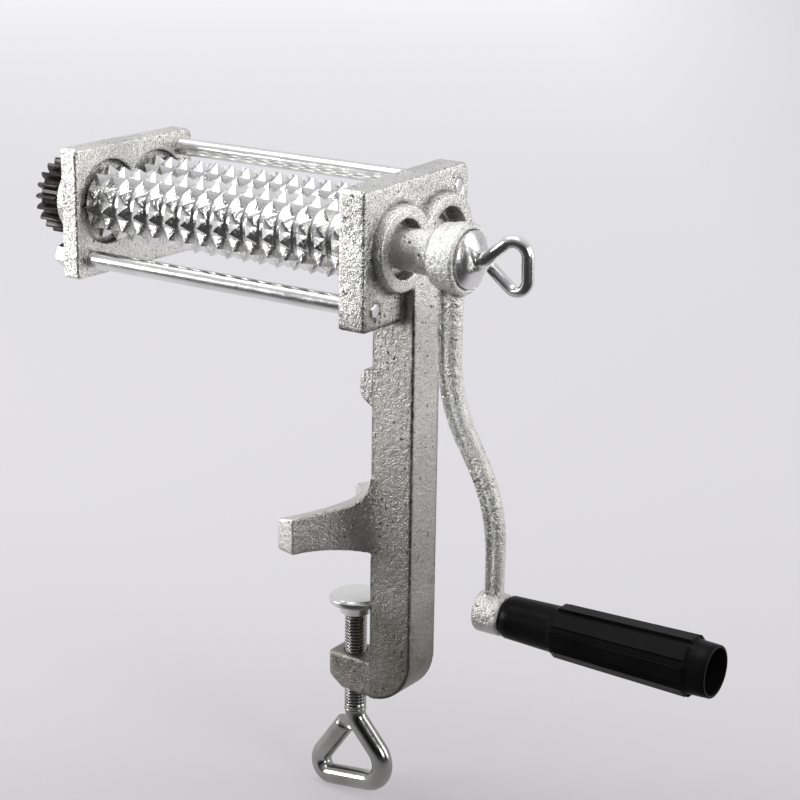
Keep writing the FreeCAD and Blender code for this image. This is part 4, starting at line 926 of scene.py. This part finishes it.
# ---- crank ----
def make_crank_arm():
    """S-shaped arm: a flat flange on the inner side with a rounded body on it, smaller towards the eye."""
    lean, bend, top_x, offset, eye_scale = math.radians(30.0), 70.0, 57.9, 24.3, 0.74
    straight = (offset - 2 * bend * (1 - math.cos(lean))) / math.sin(lean)
    low_z = GRIP_AXIS[1] + 28.5
    high_z = low_z + 2 * bend * math.sin(lean) + straight * math.cos(lean)
    low_x, y = top_x + offset, FRONT_AXIS[0]
    turns = [lean * k / 16 for k in range(17)]
    line = [(top_x, ROLLER_Z - 8.4), (top_x, high_z + 12.0)]
    line += [(top_x + bend * (1 - math.cos(a)), high_z - bend * math.sin(a)) for a in turns]
    line += [(low_x - bend * (1 - math.cos(a)), low_z + bend * math.sin(a)) for a in reversed(turns)]
    line += [(low_x, GRIP_AXIS[1] + 4.45)]
    lengths = [0.0]
    for a, b in zip(line, line[1:]):
        lengths.append(lengths[-1] + math.dist(a, b))
    half, flange, wide, slim = 4.6, 2.0, 5.3, 4.3
    crown = arc_through((1.0, slim), (half, 0.0), (1.0, -slim), 12)
    section = [(-half, -wide), (-half, wide), (flange - half, wide), (flange - half, slim)] + crown
    section += [(flange - half, -slim), (flange - half, -wide)]
    bm = bmesh.new()
    rows = []
    for i, (x, z) in enumerate(line):
        before, after = line[max(i - 1, 0)], line[min(i + 1, len(line) - 1)]
        run = Vector((after[0] - before[0], after[1] - before[1])).normalized()
        scale = 1.0 + (eye_scale - 1.0) * lengths[i] / lengths[-1]
        rows.append([bm.verts.new((x - run.y * a * scale, y + b * scale, z + run.x * a * scale)) for a, b in section])
    join_rows(bm, rows)
    bm.faces.new(rows[0])
    bm.faces.new(rows[-1])
    return from_bmesh("crank_arm", bm)


def make_crank():
    neck = [(BORE_FLOOR + 0.6, 0), (BORE_FLOOR + 0.6, 8.4), (50.2, 9.6), (HUB_START, 11.6), (HUB_START, 12.4),
            (HUB_START + 1.2, 13.6), (HUB_STEP, 14.1), (HUB_STEP, 14.6), (HUB_END - 1.0, 14.8), (HUB_END, 13.8),
            (HUB_END, 0)]
    hub = turned("hub", rounded(neck, [0, 0.4, 4.0, 0.6, 0, 0, 0, 0, 0.6, 0.4, 0], 3), FRONT_AXIS)
    eye = cylinder("eye", 75.2, 87.9, 8.9, GRIP_AXIS, (1.2, 1.2))
    (y, z), half, past = FRONT_AXIS, SOCKET_HALF, 75.0
    tools = [cylinder("cut", HUB_SEAT, past, 12.2, FRONT_AXIS),
             block("socket", (BORE_FLOOR - 1, y - half, z - half), (past, y + half, z + half))]
    carve(hub, tools)
    hole = cylinder("cut", BOLT_START, 92.0, BOLT_RADIUS + 0.02, GRIP_AXIS)
    carve(eye, [hole])
    arm = make_crank_arm()
    drop(tools + [hole])
    keep(cast("crank", [hub, arm, eye], 0.42, 14), "crank", "casting", CRANK_TIN, "crank_line", 80.0)


def make_crank_washer():
    bore = 3.05
    dome = arc_through((66.8, WASHER_RADIUS), (68.8, 8.05), (WASHER_CROWN, 4.2), 16)
    outline = [(HUB_SEAT, bore), (HUB_SEAT, WASHER_RADIUS), (66.4, WASHER_RADIUS)] + dome + [(WASHER_CROWN, bore)]
    keep(turned("washer", outline, FRONT_AXIS, steps=128, closed=True), "crank_washer", "polished", PLATED,
         "crank_washer", 40.0)


def threaded_bar(radius, low, high, step, steps, values):
    """Round bar along Z with close rows, and a thread cut into it."""
    rows = max(2, int((high - low) / step))
    outline = [(low, 0), (low, radius - 0.5)]
    outline += [(low + 0.5 + (high - low - 1.0) * k / rows, radius) for k in range(rows + 1)]
    outline += [(high, radius - 0.5), (high, 0)]
    bar = turned("thread", outline, CLAMP_AXIS, "Z", steps)
    run_tree(bar, SCREW_THREAD, values)
    return bar


def make_thumb_screw():
    root, back, rise, drop_z = WASHER_CROWN + 1.6, 4.8, 16.2, -16.4
    far = root + 19.6
    points = [(WASHER_CROWN - 1.1, 0, 0), (root, 0, 0), (far, back / 3, rise), (far, back * 2 / 3, drop_z),
              (root + 1.6 - 0.2, back, -2.8 - 0.45)]
    loop = round_bar("loop", bent_path(points, [4.5, 5.9, 5.9], 0.5), 2.6)
    loop.data.transform(Matrix.Translation((0, *FRONT_AXIS)))
    bar = threaded_bar(3.0, 0.0, 22.8, 0.12, 32, {"Pitch": 1.0, "Depth": 0.6, "Low": -1.0, "High": 30.0,
                                                  "Least Radius": 2.9, "Finish": PLATED})
    bar.data.transform(Matrix.Translation((47.0, *FRONT_AXIS)) @ Matrix.Rotation(math.pi / 2, 4, "Y"))
    keep(joined("thumb", [loop, bar]), "thumb_screw", "polished", PLATED, "thumb_screw", 50.0)


# ---- grip ----
def make_grip():
    """Hollow sleeve with broad flat ribs: rings of points whose radius follows the ribs."""
    start, end = GRIP_START, GRIP_END
    rib_start, rib_end, ribs, rib_height, half = start + 25.0, start + 85.5, 8, 1.1, math.radians(15.5)
    bends = []
    for rib in range(ribs):
        middle = TURN * rib / ribs
        side = [-half - 0.03, -half - 0.012, -half, -half + 0.012, -half + 0.035, -0.16, -0.08, 0.0, 0.08, 0.16,
                half - 0.035, half - 0.012, half, half + 0.012, half + 0.03, TURN / ribs / 2]
        bends += [(middle + a, a) for a in side]

    def base(x):
        """The sleeve's radius between the ribs."""
        if x < rib_start:
            return 9.0 + 0.8 * (x - start) / 25.0
        if x < rib_end:
            return 9.8 + 1.3 * (x - rib_start) / (rib_end - rib_start)
        return 11.1 - 0.4 * (x - rib_end) / (end - rib_end)

    def on_rib(radius, a):
        """The radius on a rib, flat on top, with a step down at each side."""
        top = (radius + rib_height) / math.cos(a)
        if abs(a) <= half - 0.012:
            return top
        if abs(a) <= half + 1e-9:
            return top - 0.18
        if abs(a) <= half + 0.0121:
            return radius + 0.25
        return radius

    # Each row is its x, what its radius gains everywhere, and how far its ribs have risen.
    rows = [(start, -1.4, 0.0), (start + 0.5, -0.5, 0.0), (start + 1.4, 0.0, 0.0)]
    rows += [(start + 1.4 + 23.4 * k / 8, 0.0, 0.0) for k in range(1, 9)]
    rows += [(rib_start + at, 0.0, rise) for at, rise in ((0.0, 0.1), (0.1, 0.75), (0.4, 0.97), (0.8, 1.0))]
    rows += [(rib_start + 0.8 + 58.9 * k / 20, 0.0, 1.0) for k in range(1, 21)]
    rows += [(rib_end - 0.4, 0.0, 0.97), (rib_end - 0.1, 0.0, 0.75), (rib_end, 0.0, 0.1), (rib_end + 0.3, 0.0, 0.0),
             (end - 4.0, 0.0, 0.0), (end - 0.35, 0.0, 0.0), (end - 0.1, -0.12, 0.0), (end, -0.35, 0.0)]
    floor = end - GRIP_CAVITY
    inner = [(end, 9.8), (end - 0.15, 9.55), (end - 0.5, 9.45), (end - 20.0, 9.0), (floor + 0.6, 8.6), (floor, 8.1),
             (floor, GRIP_BORE), (start, GRIP_BORE)]
    rings = []
    for x, gain, rise in rows:
        radius = base(x) + gain
        rings.append((x, [radius + rise * (on_rib(base(x), a) - base(x)) if abs(a) < half + 0.02 else radius
                          for _, a in bends]))
    rings += [(x, [radius] * len(bends)) for x, radius in inner]
    bm = bmesh.new()
    y, z = GRIP_AXIS
    grid = [[bm.verts.new((x, y + reach * math.sin(angle), z + reach * math.cos(angle)))
             for reach, (angle, _) in zip(reaches, bends)] for x, reaches in rings]
    join_rows(bm, grid, closed=True)
    keep(from_bmesh("grip", bm), "grip", "sleeve", PLASTIC, "grip", 32.0)


def make_handle_bolt():
    washer_x = GRIP_END - GRIP_CAVITY + 0.4
    head_x = washer_x + 1.4
    head_end, slot_half = head_x + 4.6, 0.8
    shank = turned("shank", [(BOLT_START, 0), (BOLT_START, 3.6), (BOLT_START + 0.5, BOLT_RADIUS),
                             (head_x + 0.5, BOLT_RADIUS), (head_x + 0.5, 0)], GRIP_AXIS, steps=64)
    head = cylinder("head", head_x, head_end, 6.4, GRIP_AXIS, (0.4, 1.4))
    y, z = GRIP_AXIS
    slot = block("slot", (head_end - 2.3, y - 8, z - slot_half), (head_end + 2, y + 8, z + slot_half))
    carve(head, [slot])
    drop([slot])
    keep_plated(joined("bolt", [shank, head]), "handle_bolt", "crank_line")
    keep_plated(ring("washer", washer_x, head_x, GRIP_BORE, 7.6, GRIP_AXIS, 0.25), "handle_washer", "crank_line")


# ---- clamp ----
def make_clamp_screw():
    root, across = THREAD_END - 3.6, 7.0
    points = [(0, 0, THREAD_END + 3.0), (0, 0, root), (24.3, across / 6, root - 28.6),
              (-30.4, across * 5 / 6, root - 38.0), (-9.8 - 0.3, across, root - 8.4 - 0.4)]
    loop = round_bar("loop", bent_path(points, [9.0, 11.2, 6.2], 0.8), 4.7, 48, 0.6)
    bar = threaded_bar(5.0, THREAD_END - 0.5, SCREW_SHOULDER, 0.125, 56, {
        "Pitch": 1.5, "Depth": 0.92, "Low": THREAD_END + 0.4, "High": SCREW_SHOULDER + 3.0, "Least Radius": 4.8,
        "Finish": SCREW_PLATING_PAINTED_DARK})
    tip = cylinder("tip", SCREW_SHOULDER - 1, -29.3, 3.4, CLAMP_AXIS, (0, 0.6), "Z", 64)
    keep(joined("screw", [loop, bar, tip]), "clamp_screw", "plated", SCREW_PLATING_PAINTED_DARK, "clamp_screw",
         50.0)


def make_clamp_pad():
    face, rim, back, socket_end, socket = -25.3, 12.0, -28.9, -33.9, 3.45
    outline = [(face, 0), (face, 10.8), (face - 1.2, rim), (back, rim), (back, 8.0), (socket_end, 7.0),
               (socket_end, socket), (back, socket), (back, 0)]
    outline = rounded(outline, [0, 0.4, 0.4, 0.5, 0.8, 0.5, 0.3, 0, 0], 3)
    keep_plated(turned("pad", outline, CLAMP_AXIS, "Z"), "clamp_pad", "clamp_pad")


make_main_frame()
make_left_plate()
make_bushes()
make_drum("front", FRONT_AXIS, FRONT_TEETH_TURN, "crank_line")
make_drum("rear", REAR_AXIS, REAR_TEETH_TURN, "rear_roller")
make_shaft("front", FRONT_AXIS, FRONT_SHAFT_END, "crank_line")
make_shaft("rear", REAR_AXIS, BORE_FLOOR + 1.0, "rear_roller")
make_gear("front", FRONT_AXIS, GEAR_TURN, "crank_line")
make_gear("rear", REAR_AXIS, HALF_GEAR_TOOTH - GEAR_TURN, "rear_roller")
make_rods()
make_crank()
make_crank_washer()
make_thumb_screw()
make_grip()
make_handle_bolt()
make_clamp_screw()
make_clamp_pad()


# ---- floor, light and camera ----
def seen_or_reflected(tree):
    """1 for what the camera, metal and glass see, 0 for the light that falls on the object."""
    rays = add_node(tree, "ShaderNodeLightPath")
    return rays["Is Camera Ray"].most(rays["Is Glossy Ray"]).most(rays["Is Transmission Ray"])


def make_floor():
    """Pale studio floor whose glow is painted light, lighter far away and greyer to the right; near the camera it is
    painted black for glossy rays only, a painted dark reflection. The object's shadow stays on its diffuse share.
    """
    half, z = 20, cad_box[0].z - 0.0005
    bm = bmesh.new()
    bm.faces.new([bm.verts.new((x, y, z)) for x, y in ((-half, -half), (half, -half), (half, half), (-half, half))])
    floor = from_bmesh("studio_floor", bm)
    material, tree, shader, where = new_material("studio_floor")
    away, aside = where.along((-0.56, 0.83, 0.0)), where.along((0.83, 0.56, 0.0)).ranged(0.35, 0.9, 0.0, 0.4)
    # Painted dark reflection: glossy rays see the floor near the camera as black, in its base colour and in its glow.
    behind = away.ranged(0.0, -0.16) * add_node(tree, "ShaderNodeLightPath")["Is Glossy Ray"]
    # Painted light: the floor's glow grows brighter far away and turns greyer to the right.
    far = away.ranged(-0.1, 3.6).maths("POWER", 0.5)
    glow = aside.blend(far.blend((0.21, 0.202, 0.21), (0.8, 0.795, 0.83)), (0.24, 0.24, 0.24))
    set_inputs(shader, {
        "Base Color": behind.blend((0.34, 0.335, 0.345), (0.03, 0.03, 0.03)), "Roughness": 0.9,
        "Specular IOR Level": 0.1, "Emission Color": behind.blend(glow, (0.01, 0.01, 0.01)),
        "Emission Strength": seen_or_reflected(tree)})
    floor.data.materials.append(material)


def softbox(name, position, target, width, height, watts):
    lamp = bpy.data.lights.new(name, "AREA")
    lamp.shape, lamp.size, lamp.size_y, lamp.energy = "RECTANGLE", width, height, watts
    obj = add_object(name, lamp)
    obj.location = position
    obj.rotation_mode = "QUATERNION"
    obj.rotation_quaternion = (Vector(target) - Vector(position)).to_track_quat("-Z", "Y")


def make_light():
    world = bpy.data.worlds.new("studio")
    bpy.context.scene.world = world
    world.use_nodes = True
    tree = world.node_tree
    lit = add_node(tree, "ShaderNodeTexCoord")["Generated"].along((-0.4, 0.5, 0.77)).ranged(-0.35, 0.75)
    room = lit.blend((0.01, 0.01, 0.011), (0.75, 0.75, 0.77))
    colour = seen_or_reflected(tree).blend((0.3, 0.3, 0.31), room)
    set_inputs(tree.nodes["Background"], {"Color": colour, "Strength": 1.0})
    softbox("key", (-1.25, -0.85, 0.35), (-0.06, 0, 0.1), 0.5, 0.5, 14.0)
    softbox("top", (-0.35, -0.1, 1.1), (-0.05, 0, 0.1), 0.8, 0.8, 6.5)
    softbox("side", (1.1, 0.75, 0.35), (0, 0, 0.05), 0.6, 0.9, 6.3)
    softbox("right", (1.3, -0.35, 0.45), (0.05, 0, 0.08), 0.45, 0.6, 6.5)


def make_camera():
    azimuth, elevation, roll = math.radians(34.15), math.radians(16.73), math.radians(0.82)
    back = Vector((math.sin(azimuth) * math.cos(elevation), -math.cos(azimuth) * math.cos(elevation),
                   math.sin(elevation)))
    right = Vector((math.cos(azimuth), math.sin(azimuth), 0.0))
    up = back.cross(right)
    tilted_right = right * math.cos(roll) + up * math.sin(roll)
    tilted_up = up * math.cos(roll) - right * math.sin(roll)
    data = bpy.data.cameras.new("studio_camera")
    data.lens, data.sensor_width = 93.825, 36.0
    data.clip_start, data.clip_end = 0.05, 100.0
    camera = add_object("studio_camera", data)
    turn = Matrix((tilted_right, tilted_up, back)).transposed().to_4x4()
    camera.matrix_world = Matrix.Translation((0.4989, -0.7031, 0.3236)) @ turn
    bpy.context.scene.camera = camera


make_floor()
make_light()
make_camera()
bpy.context.scene.view_settings.view_transform = "Standard"
bpy.context.view_layer.update()
